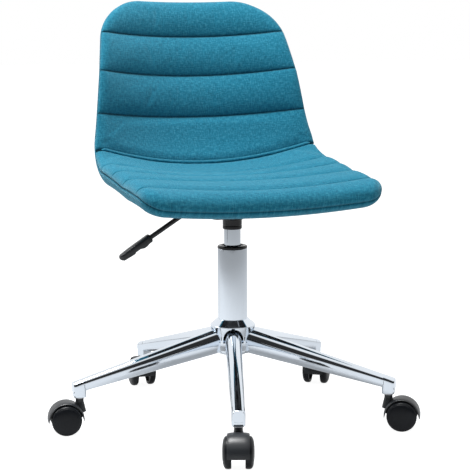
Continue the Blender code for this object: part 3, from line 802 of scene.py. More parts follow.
# ---- seat and back -------------------------------------------------------------------------------
@dataclass(frozen=True)
class Shell:
    """The bent shell that all the upholstery follows, measured along its middle from the top edge."""

    column: np.ndarray
    top_y: float = 0.2463
    top_z: float = 0.7106
    length: float = 0.626
    recline: float = math.radians(16)
    flare: float = math.radians(5.6)
    flare_end: float = 0.130
    bend: tuple[float, float] = (0.218, 0.390)
    seat_angles: tuple[float, float] = (math.radians(91.7), math.radians(82.7))
    roll_start: float = 0.578
    roll: float = math.radians(26)
    stations: tuple = ((0.013, 0.162, 0.034), (0.145, 0.183, 0.055), (0.278, 0.201, 0.046),
                       (0.384, 0.209, 0.028), (0.498, 0.206, 0.014), (0.626, 0.204, 0.016))
    corners: tuple[float, float] = (0.078, 0.036)
    arch: float = 0.0065
    back_parting: float = 0.0103
    seat_parting: float = 0.0155
    back_thickness: float = 0.027
    seat_thickness: float = 0.0366
    edge_round: float = 0.0196
    edge_wall: float = 0.0015
    ply_half: float = 0.0058
    gap: float = 0.0003

    def seat_share(self, distance: np.ndarray) -> np.ndarray:
        """0 on the back, 1 on the seat, with a smooth step over the bend.

        Args:
            distance: The way along the shell from its top edge.

        Returns:
            The values, as an array.
        """
        return smoothstep((distance - self.bend[0]) / (self.bend[1] - self.bend[0]))

    def angle(self, distance: np.ndarray) -> np.ndarray:
        """Direction of the middle line: 0 is straight down, a right angle straight forward.

        Args:
            distance: The way along the shell from its top edge.

        Returns:
            The values, as an array.
        """
        flare = self.flare * np.clip(1 - distance / self.flare_end, 0, 1) ** 2
        share = np.clip((distance - self.bend[1]) / (self.roll_start - self.bend[1]), 0, 1)
        seat = self.seat_angles[0] + (self.seat_angles[1] - self.seat_angles[0]) * share
        roll = self.roll * smoothstep((distance - self.roll_start) / (self.length - self.roll_start))
        return self.recline + flare + (seat - self.recline) * self.seat_share(distance) - roll

    def line(self, distance: np.ndarray) -> tuple[np.ndarray, np.ndarray]:
        """Centre (y, z) and sitter-side normal (-cos, sin) of the middle line.

        Args:
            distance: Distances along the shell.

        Returns:
            Points and normals, the sums of (-sin, -cos) of the angle along the line.
        """
        steps = np.linspace(0, self.length, 1200)
        angles = self.angle(steps)
        mids, step = (angles[1:] + angles[:-1]) / 2, steps[1] - steps[0]
        y = self.top_y - np.concatenate(([0], np.cumsum(np.sin(mids) * step)))
        z = self.top_z - np.concatenate(([0], np.cumsum(np.cos(mids) * step)))
        centre = np.stack([np.interp(distance, steps, y), np.interp(distance, steps, z)], -1)
        angle = self.angle(distance)
        return centre, np.stack([-np.cos(angle), np.sin(angle)], -1)

    def full_width(self, distance: np.ndarray) -> np.ndarray:
        """Half width before the corners are rounded.

        Args:
            distance: The way along the shell from its top edge.

        Returns:
            The values, as an array.
        """
        at, widths, _ = np.array(self.stations).T
        return np.interp(distance, at, widths)

    def half_width(self, distance: np.ndarray) -> np.ndarray:
        """Half width with a quarter circle at each corner.

        Args:
            distance: The way along the shell from its top edge.

        Returns:
            The values, as an array.
        """
        width = self.full_width(distance)
        for radius, edge in zip(self.corners, (distance, self.length - distance)):
            inside = np.clip(radius - edge, 0, radius)
            width = width - (radius - np.sqrt(np.maximum(radius ** 2 - inside ** 2, 0)))
        return width

    def edge(self, distance: np.ndarray, across: np.ndarray) -> np.ndarray:
        """How far inside the outline a point is: measured to the corner's arc where one is nearest.

        Args:
            distance: The way along the shell from its top edge.
            across: The place across, in metres from the middle.

        Returns:
            The values, as an array.
        """
        width = self.full_width(distance)
        nearest = np.minimum(width - np.abs(across), np.minimum(distance, self.length - distance))
        for radius, end in zip(self.corners, (distance, self.length - distance)):
            dx, dl = np.abs(across) - (width - radius), radius - end
            inside = radius - np.hypot(np.maximum(dx, 0), np.maximum(dl, 0))
            nearest = np.where((dx > 0) & (dl > 0), inside, nearest)
        return np.maximum(nearest, 0)

    def rounding(self, edge: np.ndarray) -> np.ndarray:
        """Share of the full height that stands at a distance from the edge: a quarter circle.

        Args:
            edge: The distance from the edge.

        Returns:
            The values, as an array.
        """
        return np.sqrt(np.maximum(1 - (1 - np.clip(edge / self.edge_round, 0, 1)) ** 2, 0))

    def parting(self, distance: np.ndarray) -> np.ndarray:
        """How far the seam round the edge lies below the seats of the channels.

        Args:
            distance: The way along the shell from its top edge.

        Returns:
            The values, as an array.
        """
        return self.back_parting + (self.seat_parting - self.back_parting) * self.seat_share(distance)

    def curl(self, distance: np.ndarray, across: np.ndarray) -> np.ndarray:
        """Rise towards the side edges: the station's curl times (across / half width) squared.

        Args:
            distance: The way along the shell from its top edge.
            across: The place across, in metres from the middle.

        Returns:
            The values, as an array.
        """
        at, widths, curls = np.array(self.stations).T
        return np.interp(distance, at, curls) * (across / np.interp(distance, at, widths)) ** 2

    def place(self, distance: np.ndarray, across: np.ndarray, height: np.ndarray) -> np.ndarray:
        """World points at heights above the parting surface, with the top edge arched.

        The arch lets points slide down by arch * (across / top half width)^2 * exp(-distance / 0.05).

        Args:
            distance: The way along the shell from its top edge.
            across: The place across, in metres from the middle.
            height: The height off the middle surface.

        Returns:
            The values, as an array.
        """
        slide = self.arch * (across / self.stations[0][1]) ** 2 * np.exp(-np.maximum(distance, 0) / 0.05)
        centre, normal = self.line(distance + slide)
        rise = self.curl(distance, across) - self.parting(distance) + height
        return np.stack([self.column[0] + across, self.column[1] + centre[..., 0] + normal[..., 0] * rise,
                         centre[..., 1] + normal[..., 1] * rise], -1)


@dataclass
class Upholstery:
    """Channelled pads, the welt between them, the rear cover and the cloth under the seat."""

    shell: Shell
    pitch: float = 0.0043
    back_seams: tuple[float, ...] = (0.068, 0.140, 0.215)
    seat_seams: tuple[float, ...] = (0.384, 0.444, 0.501, 0.572)
    crease: float = 0.307
    back_swell: float = 0.0062
    seat_swell: float = 0.0052
    back_power: float = 0.60
    seat_power: float = 0.36
    seam_drop: float = 0.0010
    stitch_drop: float = 0.0021
    stitch_width: float = 0.0014
    overhang: float = 0.0022
    groove: float = 0.0017
    pressure: float = 4.0
    welt_gap: float = 0.0031
    welt_radius: float = 0.0033
    front_belly: float = 0.0028
    rear_seam: float = 0.330
    dust_inset: float = 0.034

    def rows(self, start: float, end: float, seams: tuple[float, ...]) -> np.ndarray:
        """Distances of the cross rows: even steps, closer round the outline's corners and at each seam.

        Args:
            start: First distance.
            end: Last distance.
            seams: Distances of the seams, which each get a row of their own.

        Returns:
            Sorted distances.
        """
        shell = self.shell
        quarter = np.linspace(0, math.pi / 2, 25)
        ends = []
        if start <= 0:
            ends.append(shell.corners[0] * (1 - np.cos(quarter)))
        if end >= shell.length:
            ends.append(shell.length - shell.corners[1] * (1 - np.cos(quarter)))
        near = np.array([-0.0032, -0.0018, -0.0008, 0, 0.0008, 0.0018, 0.0032])
        fine = [seam + near for seam in seams]
        special = np.concatenate([*ends, *fine, [start, end]])
        even = np.arange(start, end, self.pitch)
        clear = np.abs(even[:, None] - special[None, :]).min(1) > self.pitch * 0.45
        every = np.unique(np.round(np.concatenate([special, even[clear]]), 6))
        return every[(every >= start) & (every <= end)]

    def columns(self) -> np.ndarray:
        """Places across as (share of the middle, distance from the edge), with a quarter circle for the rim.

        Returns:
            The values, as an array.
        """
        rim = self.shell.edge_round * (1 - np.cos(np.linspace(0, math.pi / 2, 13)))
        middle_steps = 2 * int(round(self.shell.stations[3][1] / self.pitch))
        inner = np.linspace(-1, 1, middle_steps + 1)[1:-1]
        left = np.stack([-np.ones_like(rim), rim], -1)
        right = np.stack([np.ones_like(rim), rim], -1)[::-1]
        core = np.stack([inner, np.full_like(inner, self.shell.edge_round)], -1)
        return np.concatenate([left, core, right])

    def across(self, distance: np.ndarray) -> np.ndarray:
        """Offsets from the middle line for every row and column.

        Args:
            distance: The way along the shell from its top edge.

        Returns:
            The values, as an array.
        """
        share, inset = self.columns().T
        width = self.shell.half_width(distance)[:, None]
        return share[None, :] * np.maximum(width - inset[None, :], width * (1 - inset[None, :] / 0.03))

    def swell(self, distance: np.ndarray, seams: tuple[float, ...], height: float,
              power: float) -> np.ndarray:
        """Pillow between neighbouring seams: height * sin(pi t)^power, with t from 0 to 1 between them.

        Args:
            distance: Distances along the shell.
            seams: The seams, with the pad's own ends first and last.
            height: How far a pillow stands above its seams.
            power: How steeply it rises beside them: the smaller, the steeper.

        Returns:
            Height above the seats of the channels.
        """
        bounds = np.array(seams)
        at = np.clip(np.searchsorted(bounds, distance, "right") - 1, 0, len(bounds) - 2)
        t = (distance - bounds[at]) / (bounds[at + 1] - bounds[at])
        from_seam = np.minimum(distance - bounds[at], bounds[at + 1] - distance)
        stitch = self.stitch_drop * np.exp(-np.abs(from_seam) / self.stitch_width)
        return height * np.sin(np.pi * np.clip(t, 0, 1)) ** power - self.seam_drop - stitch

    def sag(self, distance: np.ndarray, seams: tuple[float, ...]) -> np.ndarray:
        """How far each channel's filling slides over the seam below it: 27/4 t^2 (1 - t) of the overhang.

        Args:
            distance: The way along the shell from its top edge.
            seams: Where the seams lie.

        Returns:
            The values, as an array.
        """
        bounds = np.array(seams)
        at = np.clip(np.searchsorted(bounds, distance, "right") - 1, 0, len(bounds) - 2)
        t = np.clip((distance - bounds[at]) / (bounds[at + 1] - bounds[at]), 0, 1) ** 3
        return self.overhang * 6.75 * t ** 2 * (1 - t)

    def painted_seam_shade(self, along: np.ndarray, edge: np.ndarray, seams: tuple[float, ...]) -> np.ndarray:
        """1 at a seam, fading as exp(-(distance / 1.8 mm)^2), and a fainter share right at the pad's edge.

        Args:
            along: The way along the shell.
            edge: The distance from the edge.
            seams: Where the seams lie.

        Returns:
            The values, as an array.
        """
        nearest = np.abs(along[..., None] - np.array(seams)).min(-1)
        # painted shade: full along each seam, 0.3 of it right at the pad's edge
        return np.maximum(np.exp(-(nearest / 0.0018) ** 2), 0.3 * np.exp(-(edge / 0.00015) ** 2))

    def closed_panel(self, distance: np.ndarray, top: np.ndarray, bottom: np.ndarray,
                     seams: tuple[float, ...], slide: np.ndarray | float = 0.0) -> Patch:
        """Close a panel whose outer face and lining are heights on one grid.

        The lining's outline is drawn in by the groove's width, which leaves half of a groove along the seam.

        Args:
            distance: Distances of the rows.
            top: Heights of the outer face.
            bottom: Heights of the lining.
            seams: Distances of the seams that draw the cloth in.
            slide: How far the outer face's points have slid along the shell.

        Returns:
            The closed surface with its cloth coordinates.
        """
        inset = self.groove
        across = self.across(distance)
        rows, cols = across.shape
        along = np.broadcast_to(distance[:, None], across.shape)
        centre = (distance[0] + distance[-1]) / 2
        drawn = 1 - inset / np.maximum(self.shell.half_width(distance)[:, None], inset * 4)
        along_in = along + np.sign(centre - along) * inset * (
            np.abs(along - centre) / (centre - distance[0])) ** 8
        outer = self.shell.place(along + slide, across, top)
        inner = self.shell.place(along_in, across * drawn, bottom)
        points = np.concatenate([outer, inner[:, ::-1]], 1)
        # painted shade: the third cloth coordinate darkens the cloth at each seam and along the pad's edge
        shade = self.painted_seam_shade(along, self.shell.edge(along, across), seams)
        coords = np.stack([across, along, shade], -1)
        coords = np.concatenate([coords, coords[:, ::-1]], 1)
        sides = grid_faces(rows, 2 * cols, False, True)
        i = np.arange(cols - 1)
        cap = np.stack([i, i + 1, 2 * cols - 2 - i, 2 * cols - 1 - i], -1)
        last = cap[:, ::-1] + (rows - 1) * 2 * cols
        return Patch(points.reshape(-1, 3), np.concatenate([sides, cap, last]), coords.reshape(-1, 3))

    def pad(self, start: float, end: float, seams: tuple[float, ...], height: float,
            power: float) -> tuple[Patch, np.ndarray]:
        """One channelled pad before it is inflated.

        Args:
            start: Distance of its upper end.
            end: Distance of its lower end.
            seams: Its channel seams.
            height: Swell of its channels.
            power: Steepness of their sides.

        Returns:
            The closed surface, and which of its points are sewn down.
        """
        shell = self.shell
        distance = self.rows(start, end, seams)
        across = self.across(distance)
        along = np.broadcast_to(distance[:, None], across.shape)
        edge = shell.edge(along, across)
        bounds = (min(start, -0.012) if start <= 0 else start, *seams,
                  end if end < shell.length else shell.length + 0.012)
        full = shell.parting(along) + self.swell(along, bounds, height, power)
        wall = shell.gap + shell.edge_wall
        top = wall + (full - wall) * shell.rounding(edge)
        over_ply = smoothstep((edge - 0.010) / 0.007)
        bottom = shell.gap + shell.ply_half * over_ply
        slide = self.sag(along, bounds) * shell.rounding(edge)
        patch = self.closed_panel(distance, top, bottom, bounds, slide)
        sewn = np.zeros((len(distance), 2 * across.shape[1]), bool)
        sewn[:, across.shape[1]:] = True
        sewn[:, :across.shape[1]] = (edge < 0.0012) | np.isin(along, np.round(seams, 6))
        sewn[0] = sewn[-1] = True
        return patch, sewn.ravel()

    def inflate(self, obj: bpy.types.Object, sewn: np.ndarray, cap: float = 0.0022) -> None:
        """Blow the pad up as cloth that is held along its seams, and keep the result.

        Args:
            obj: The pad.
            sewn: Which of its points don't move.
            cap: The furthest that a point may move.
        """
        rest = np.empty(len(obj.data.vertices) * 3, np.float32)
        obj.data.vertices.foreach_get("co", rest)
        rest = rest.reshape(-1, 3)
        group = obj.vertex_groups.new(name="sewn")
        group.add(np.flatnonzero(sewn).tolist(), 1.0, "REPLACE")
        cloth = obj.modifiers.new("cloth", "CLOTH")
        cloth.settings.vertex_group_mass = "sewn"
        cloth.settings.use_pressure = True
        cloth.settings.uniform_pressure_force = self.pressure
        cloth.settings.effector_weights.gravity = 0
        cloth.settings.quality = 5
        cloth.settings.air_damping = 4
        cloth.settings.bending_stiffness = 0.6
        cloth.collision_settings.use_collision = False
        cloth.point_cache.frame_start = 1
        cloth.point_cache.frame_end = 20
        scene = bpy.context.scene
        for step in range(1, 21):
            scene.frame_set(step)
        shaped = obj.evaluated_get(bpy.context.evaluated_depsgraph_get())
        now = np.empty_like(rest).ravel()
        shaped.data.vertices.foreach_get("co", now)
        move = np.nan_to_num(now.reshape(-1, 3) - rest)
        length = np.linalg.norm(move, axis=1, keepdims=True)
        move *= np.minimum(1, cap / np.maximum(length, 1e-9))
        obj.modifiers.remove(cloth)
        obj.vertex_groups.clear()
        scene.frame_set(1)
        obj.data.vertices.foreach_set("co", (rest + move).astype(np.float32).ravel())
        obj.data.update()
        kept = float(np.linalg.norm(move, axis=1).max()) * 1000
        log.info("%s: inflated, %.1f mm at most, of which %.1f mm is kept", obj.name,
                 float(length.max()) * 1000, kept)

    def build_pad(self, name: str, node: str, span: tuple[float, float],
                  seams: tuple[float, ...], height: float, power: float) -> None:
        """Make, inflate and dress one pad.

        Args:
            name: The name.
            node: The node that it stands for.
            span: Where the pad starts and ends.
            seams: Where the seams lie.
            height: The channels' height.
            power: The exponent of the channels' profile.
        """
        patch, sewn = self.pad(*span, seams, height, power)
        obj = piece(name, patch, sharp=75)
        if len(obj.data.vertices) != len(sewn):
            log.warning("%s: %d points were welded", name, len(sewn) - len(obj.data.vertices))
        else:
            self.inflate(obj, sewn)
        subdivide(obj)
        fit_out(obj, "seat", "fabric", Finish.CLOTH.material(), node)

    def build_cover(self) -> None:
        """The cover behind the back and under the seat, with its cross seam and the black cloth's step."""
        shell = self.shell
        distance = self.rows(0.0, shell.length, (self.rear_seam,))
        across = self.across(distance)
        along = np.broadcast_to(distance[:, None], across.shape)
        edge = shell.edge(along, across)
        thickness = shell.back_thickness + (
            shell.seat_thickness - shell.back_thickness) * shell.seat_share(along)
        belly = self.front_belly * shell.seat_share(along) * np.exp(-(edge / 0.05) ** 2)
        full = thickness - shell.parting(along) - 0.003 + belly
        wall = shell.gap + shell.edge_wall
        dent = 0.0012 * np.exp(-((along - self.rear_seam) / 0.0016) ** 2)
        flat = self.dust_zone(along, across)
        depth = wall + (full - wall) * shell.rounding(edge) - dent - 0.0005 * flat
        lining = shell.gap + shell.ply_half * smoothstep((edge - 0.010) / 0.007)
        patch = self.closed_panel(distance, -depth, -lining, (self.rear_seam,))
        obj = piece("rear_cover_cloth", patch, sharp=75)
        fit_out(obj, "seat", "fabric", Finish.CLOTH.material(), "rear_cover")
        obj.data.materials.append(Finish.DUST_CLOTH.material())
        self.paint_dust_zone(obj)

    def dust_zone(self, along: np.ndarray, across: np.ndarray) -> np.ndarray:
        """1 under the black cloth, 0 outside it.

        Args:
            along: The way along the shell.
            across: The place across, in metres from the middle.

        Returns:
            The values, as an array.
        """
        width = self.shell.full_width(along) - self.dust_inset
        inside = (np.abs(across) < width) & (along > self.rear_seam + 0.030)
        return (inside & (along < self.shell.length - self.dust_inset)).astype(float)

    def paint_dust_zone(self, obj: bpy.types.Object) -> None:
        """Give the faces of the cover's outer side that lie under the black cloth its material.

        Args:
            obj: The piece's object.
        """
        mesh = obj.data
        coords = np.empty(len(mesh.vertices) * 3, np.float32)
        mesh.attributes[CLOTH_COORDS].data.foreach_get("vector", coords)
        normals = np.empty(len(mesh.polygons) * 3, np.float32)
        mesh.polygons.foreach_get("normal", normals)
        starts = np.empty(len(mesh.polygons), np.int32)
        mesh.polygons.foreach_get("loop_start", starts)
        corner = np.empty(len(mesh.loops), np.int32)
        mesh.loops.foreach_get("vertex_index", corner)
        at = coords.reshape(-1, 3)[corner[starts]]
        zone = self.dust_zone(at[:, 1], at[:, 0]) * (normals.reshape(-1, 3)[:, 2] < 0)
        mesh.polygons.foreach_set("material_index", zone.astype(np.int32))

    def build_welt(self) -> None:
        """The piped welt that closes the crease between the back and the seat."""
        shell = self.shell
        half = float(shell.half_width(np.array(self.crease))) - 0.010
        across = np.linspace(-half, half, 121)
        along = np.full_like(across, self.crease)
        sink = shell.rounding(shell.edge(along, across))
        height = (shell.parting(along) - 0.0006) * sink
        path = shell.place(along, across, height)
        ends = np.minimum(1, (half - np.abs(across)) / 0.006) ** 0.5
        patch = sweep(path, self.welt_radius * np.maximum(ends, 0.15), 16, aside=(0, 0.7, 0.7))
        ring = np.tile(np.linspace(0, math.tau * self.welt_radius, 16, endpoint=False), len(path) + 2)
        run = np.repeat(np.concatenate([across[:1], across, across[-1:]]), 16)
        patch.coords = np.stack([run, ring, np.zeros_like(run)], -1)
        obj = piece("crease_welt", patch)
        fit_out(obj, "seat", "fabric", Finish.CLOTH.material())

    def build_ply(self) -> None:
        """The bent plywood shell inside, drawn in from the outline by its inset all round."""
        shell = self.shell
        inset = 0.0170
        distance = np.linspace(inset, shell.length - inset, 150)
        share = np.linspace(-1, 1, 81)
        across = share[None, :] * (shell.half_width(distance)[:, None] - inset)
        along = np.broadcast_to(distance[:, None], across.shape)
        half = shell.ply_half - shell.gap
        ease = np.minimum(1, (1 - np.abs(share[None, :])) * 40 + 0.8)
        faces = [shell.place(along, across, sign * half * ease) for sign in (1, -1)]
        stack = np.concatenate([faces[0], faces[1][:, ::-1]], 1)
        fit_out(piece("plywood_shell", rings(stack)), "seat", "plywood", Finish.PLYWOOD.material(),
                "seat_shell")

    def build(self) -> None:
        """Make every piece of the upholstery."""
        back_end, seat_start = self.crease - self.welt_gap, self.crease + self.welt_gap
        self.build_pad("back_pad_cloth", "back_pad", (0.0, back_end), self.back_seams, self.back_swell,
                       self.back_power)
        self.build_pad("seat_pad_cloth", "seat_pad", (seat_start, self.shell.length), self.seat_seams,
                       self.seat_swell, self.seat_power)
        self.build_cover()
        self.build_welt()
        self.build_ply()


# ---- base ----------------------------------------------------------------------------------------
@dataclass
class Base:
    """Hub, five arms that end in sockets, and the column tube that stands in the hub."""

    column: np.ndarray
    hub_bottom: float = 0.1170
    hub_foot_r: float = 0.0346
    hub_waist_r: float = 0.0324
    hub_rim_r: float = 0.0386
    hub_rim_z: float = 0.1630
    hub_top: float = 0.1735
    pocket: float = 0.0026
    pocket_depth: float = 0.0075
    arm_start: float = 0.0240
    arm_widths: tuple[float, float] = (0.0290, 0.0200)
    arm_heights: tuple[float, float] = (0.0440, 0.0205)
    arm_mid_z: tuple[float, float] = (0.1365, 0.0790)
    arm_inner: float = 0.0290          # where the first of each pair of sizes is measured
    socket_r: float = 0.0108
    tube_r: float = 0.0250
    tube_top: float = 0.2935

    def arm_angle(self, number: int) -> float:
        """Direction of an arm, from the column to its caster stem.

        Args:
            number: Which arm, from 1.

        Returns:
            The value.
        """
        run = middle(f"caster_stem_{number}") - self.column
        return math.atan2(run[1], run[0])

    def reach(self) -> float:
        """Distance from the column to a caster stem.

        Returns:
            The value.
        """
        return float(np.linalg.norm((middle("caster_stem_1") - self.column)[:2]))

    def arm_sizes(self, radius: np.ndarray) -> tuple[np.ndarray, np.ndarray, np.ndarray]:
        """Half width, half height and middle height of an arm at a distance from the column.

        Args:
            radius: The distance from the column.

        Returns:
            The values, as an array.
        """
        share = (radius - self.arm_inner) / (self.reach() - self.arm_inner)
        pairs = (self.arm_widths, self.arm_heights, self.arm_mid_z)
        width, height, mid = (a + (b - a) * share for a, b in pairs)
        return width / 2, height / 2, mid

    def arm_section(self, radius: np.ndarray, steps: int = 96) -> np.ndarray:
        """Crowned sections: superellipses whose power grows a little from the hub to the socket.

        Args:
            radius: The distance from the column.
            steps: How many points.

        Returns:
            The values, as an array.
        """
        half_width, half_height, mid = (v[:, None] for v in self.arm_sizes(radius))
        share = np.clip((radius - self.arm_inner) / (self.reach() - self.arm_inner), 0, 1)
        sections = np.array([superellipse(steps, power) for power in self.section_power(share)])
        across, up = sections[:, 0], sections[:, 1]
        x = np.broadcast_to(radius[:, None], across.shape)
        return np.stack([x, across * half_width, mid + up * half_height], -1)

    def section_power(self, share: np.ndarray) -> np.ndarray:
        """Power of an arm's section, from the hub (0) to the socket (1).

        Args:
            share: Where, from 0 to 1.

        Returns:
            The values, as an array.
        """
        return 2.3 + 0.5 * smoothstep((share - 0.3) / 0.7)

    def arm(self) -> Patch:
        """An arm along +X, from inside the hub to the outer face of its socket, whose rim is rounded.

        Returns:
            The surface.
        """
        end = self.reach() + self.socket_r
        radius = np.concatenate([np.linspace(self.arm_start, end - 0.0012, 90), [end - 0.0004, end, end]])
        stack = self.arm_section(radius)
        shrink = np.concatenate([np.ones(90), [0.975, 0.93, 0.85]])[:, None]
        centre = stack.mean(1, keepdims=True)
        stack[..., 1:] = (stack - centre)[..., 1:] * shrink[..., None] + centre[..., 1:]
        return rings(stack)

    def socket(self) -> Patch:
        """The upright end of an arm: rounded-square rings whose tops follow the arm's sloping top.

        Returns:
            The surface.
        """
        across, along = superellipse(96, 5.0)
        low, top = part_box("caster_socket_1")[0].z, self.arm_top(0.0) - 0.0030
        slope = (self.arm_top(0.01) - self.arm_top(0.0)) / 0.01
        sizes = self.socket_r * np.array([0.84, 0.93, 0.96, 0.97, 0.98, 0.985, 0.97, 0.93, 0.86])
        share = np.array([0, 0.03, 0.07, 0.25, 0.5, 0.72, 0.86, 0.94, 1.0])
        x, y = sizes[:, None] * across, sizes[:, None] * along
        z = low + (top + slope * x - low) * share[:, None]
        return rings(np.stack([x, y, z], -1))

    def arm_top(self, beyond: float) -> float:
        """Height of the arm's top ridge at a distance beyond the caster stem.

        Args:
            beyond: How far past the arm's end.

        Returns:
            The value.
        """
        _, half_height, mid = self.arm_sizes(np.array([self.reach() + beyond]))
        return float(mid[0] + half_height[0])

    def hub(self) -> Patch:
        """A waisted hub with a pocket round each arm.

        The outer side's radius is a waisted profile in z, less the pocket's depth inside each arm's section
        grown by the pocket's width. Above the rim it closes in as a cone to the column tube.

        Returns:
            The surface.
        """
        outline = rounded([(self.tube_r - 0.0030, self.hub_bottom),
                           (self.hub_foot_r - 0.001, self.hub_bottom),
                           (self.hub_foot_r, self.hub_bottom + 0.004), (self.hub_waist_r, 0.1400),
                           (self.hub_rim_r - 0.0012, self.hub_rim_z - 0.0050),
                           (self.hub_rim_r, self.hub_rim_z),
                           (self.tube_r + 0.0016, self.hub_top), (self.tube_r - 0.001, self.hub_top)],
                          [0.0012, 0.0015, 0.0120, 0.0014, 0.0010, 0.0008], 6)
        run = np.concatenate([[0], np.cumsum(np.linalg.norm(np.diff(outline, axis=0), axis=1))])
        even = np.linspace(0, run[-1], 150)
        at = np.sort(np.concatenate([even, run]))
        radius, height = (np.interp(at, run, outline[:, i]) for i in (0, 1))
        a = np.linspace(0, math.tau, 420, endpoint=False)
        cut = np.zeros((len(at), len(a)))
        for number in range(1, 6):
            off = (a - self.arm_angle(number) + math.pi) % math.tau - math.pi
            side = np.sin(off)[None, :] * radius[:, None] + 1e3 * (np.cos(off) < 0)[None, :]
            half_width, half_height, mid = (float(v[0]) for v in self.arm_sizes(radius.mean(keepdims=True)))
            lift = height[:, None] - mid
            margin = np.where(lift > 0, self.pocket, -0.002)
            u, v = np.abs(side) / (half_width + margin), lift / (half_height + margin)
            inside = (u ** 2.4 + np.abs(v) ** 2.4) < 1
            cut = np.maximum(cut, inside)
        below_rim = (height < self.hub_rim_z - 0.001)[:, None] & (height > self.hub_bottom + 0.0005)[:, None]
        r = radius[:, None] - self.pocket_depth * cut * below_rim
        points = np.stack([r * np.cos(a), r * np.sin(a), np.broadcast_to(height[:, None], r.shape)], -1)
        bore = lathe(np.array([(self.tube_r - 0.001, self.hub_top),
                               (self.tube_r - 0.0030, self.hub_bottom)]), 420)
        outer = Patch(points.reshape(-1, 3), grid_faces(*r.shape, False, True))
        return join([outer, bore])

    def paint_pocket_shade(self, hub: bpy.types.Object) -> None:
        """Paint shade into the pockets: a near-black finish on every face that lies inside the waisted
        outline.

        Args:
            hub: The hub's object.
        """
        hub.data.materials.append(Finish.PAINTED_POCKET_SHADE.material())
        count = len(hub.data.polygons)
        centre, zone = np.empty(count * 3, np.float32), np.zeros(count, np.int32)
        hub.data.polygons.foreach_get("center", centre)
        x, y, z = (centre.reshape(-1, 3) - (self.column[0], self.column[1], 0)).T
        radius = np.hypot(x, y)
        # painted shade: faces inside the pockets get the near-black finish
        zone[(radius > 0.0255) & (radius < self.hub_waist_r - 0.0008) & (z < self.hub_rim_z - 0.002)
             & (z > (self.hub_bottom + self.hub_rim_z) / 2)] = 1
        hub.data.polygons.foreach_set("material_index", zone)

    def tube(self) -> Patch:
        """The column tube: straight above the hub, tapered inside it, open at the top.

        Returns:
            The surface.
        """
        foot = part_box("column_tube")[0].z
        outer = rounded([(0.0053, foot), (0.0225, foot), (self.tube_r, self.hub_top - 0.002),
                         (self.tube_r, self.tube_top), (0.0226, self.tube_top), (0.0226, self.hub_top),
                         (0.0201, foot + 0.003), (0.0053, foot + 0.003)],
                        [0.0012, 0.001, 0.0006, 0.0004, 0.001, 0.001], 4)
        return lathe(outer, 128, True)

    def build(self) -> None:
        """Make the pieces of the base."""
        chrome = Finish.CHROME.material()
        at = (self.column[0], self.column[1], 0)
        hub = fit_out(piece("hub_casting", moved(self.hub(), 0, at)), "base", "chrome", chrome, "base_hub")
        self.paint_pocket_shade(hub)
        fit_out(piece("column_outer_tube", moved(self.tube(), 0, at)), "base", "chrome", chrome,
                "column_tube")
        arm, socket = self.arm(), self.socket()
        for number in range(1, 6):
            angle = self.arm_angle(number)
            stem = middle(f"caster_stem_{number}")
            fit_out(piece(f"arm_casting_{number}", moved(arm, angle, at)), "base", "chrome", chrome,
                    f"base_arm_{number}")
            fit_out(piece(f"arm_socket_{number}", moved(socket, angle, (stem[0], stem[1], 0)), 40), "base",
                    "chrome", chrome, f"caster_socket_{number}")


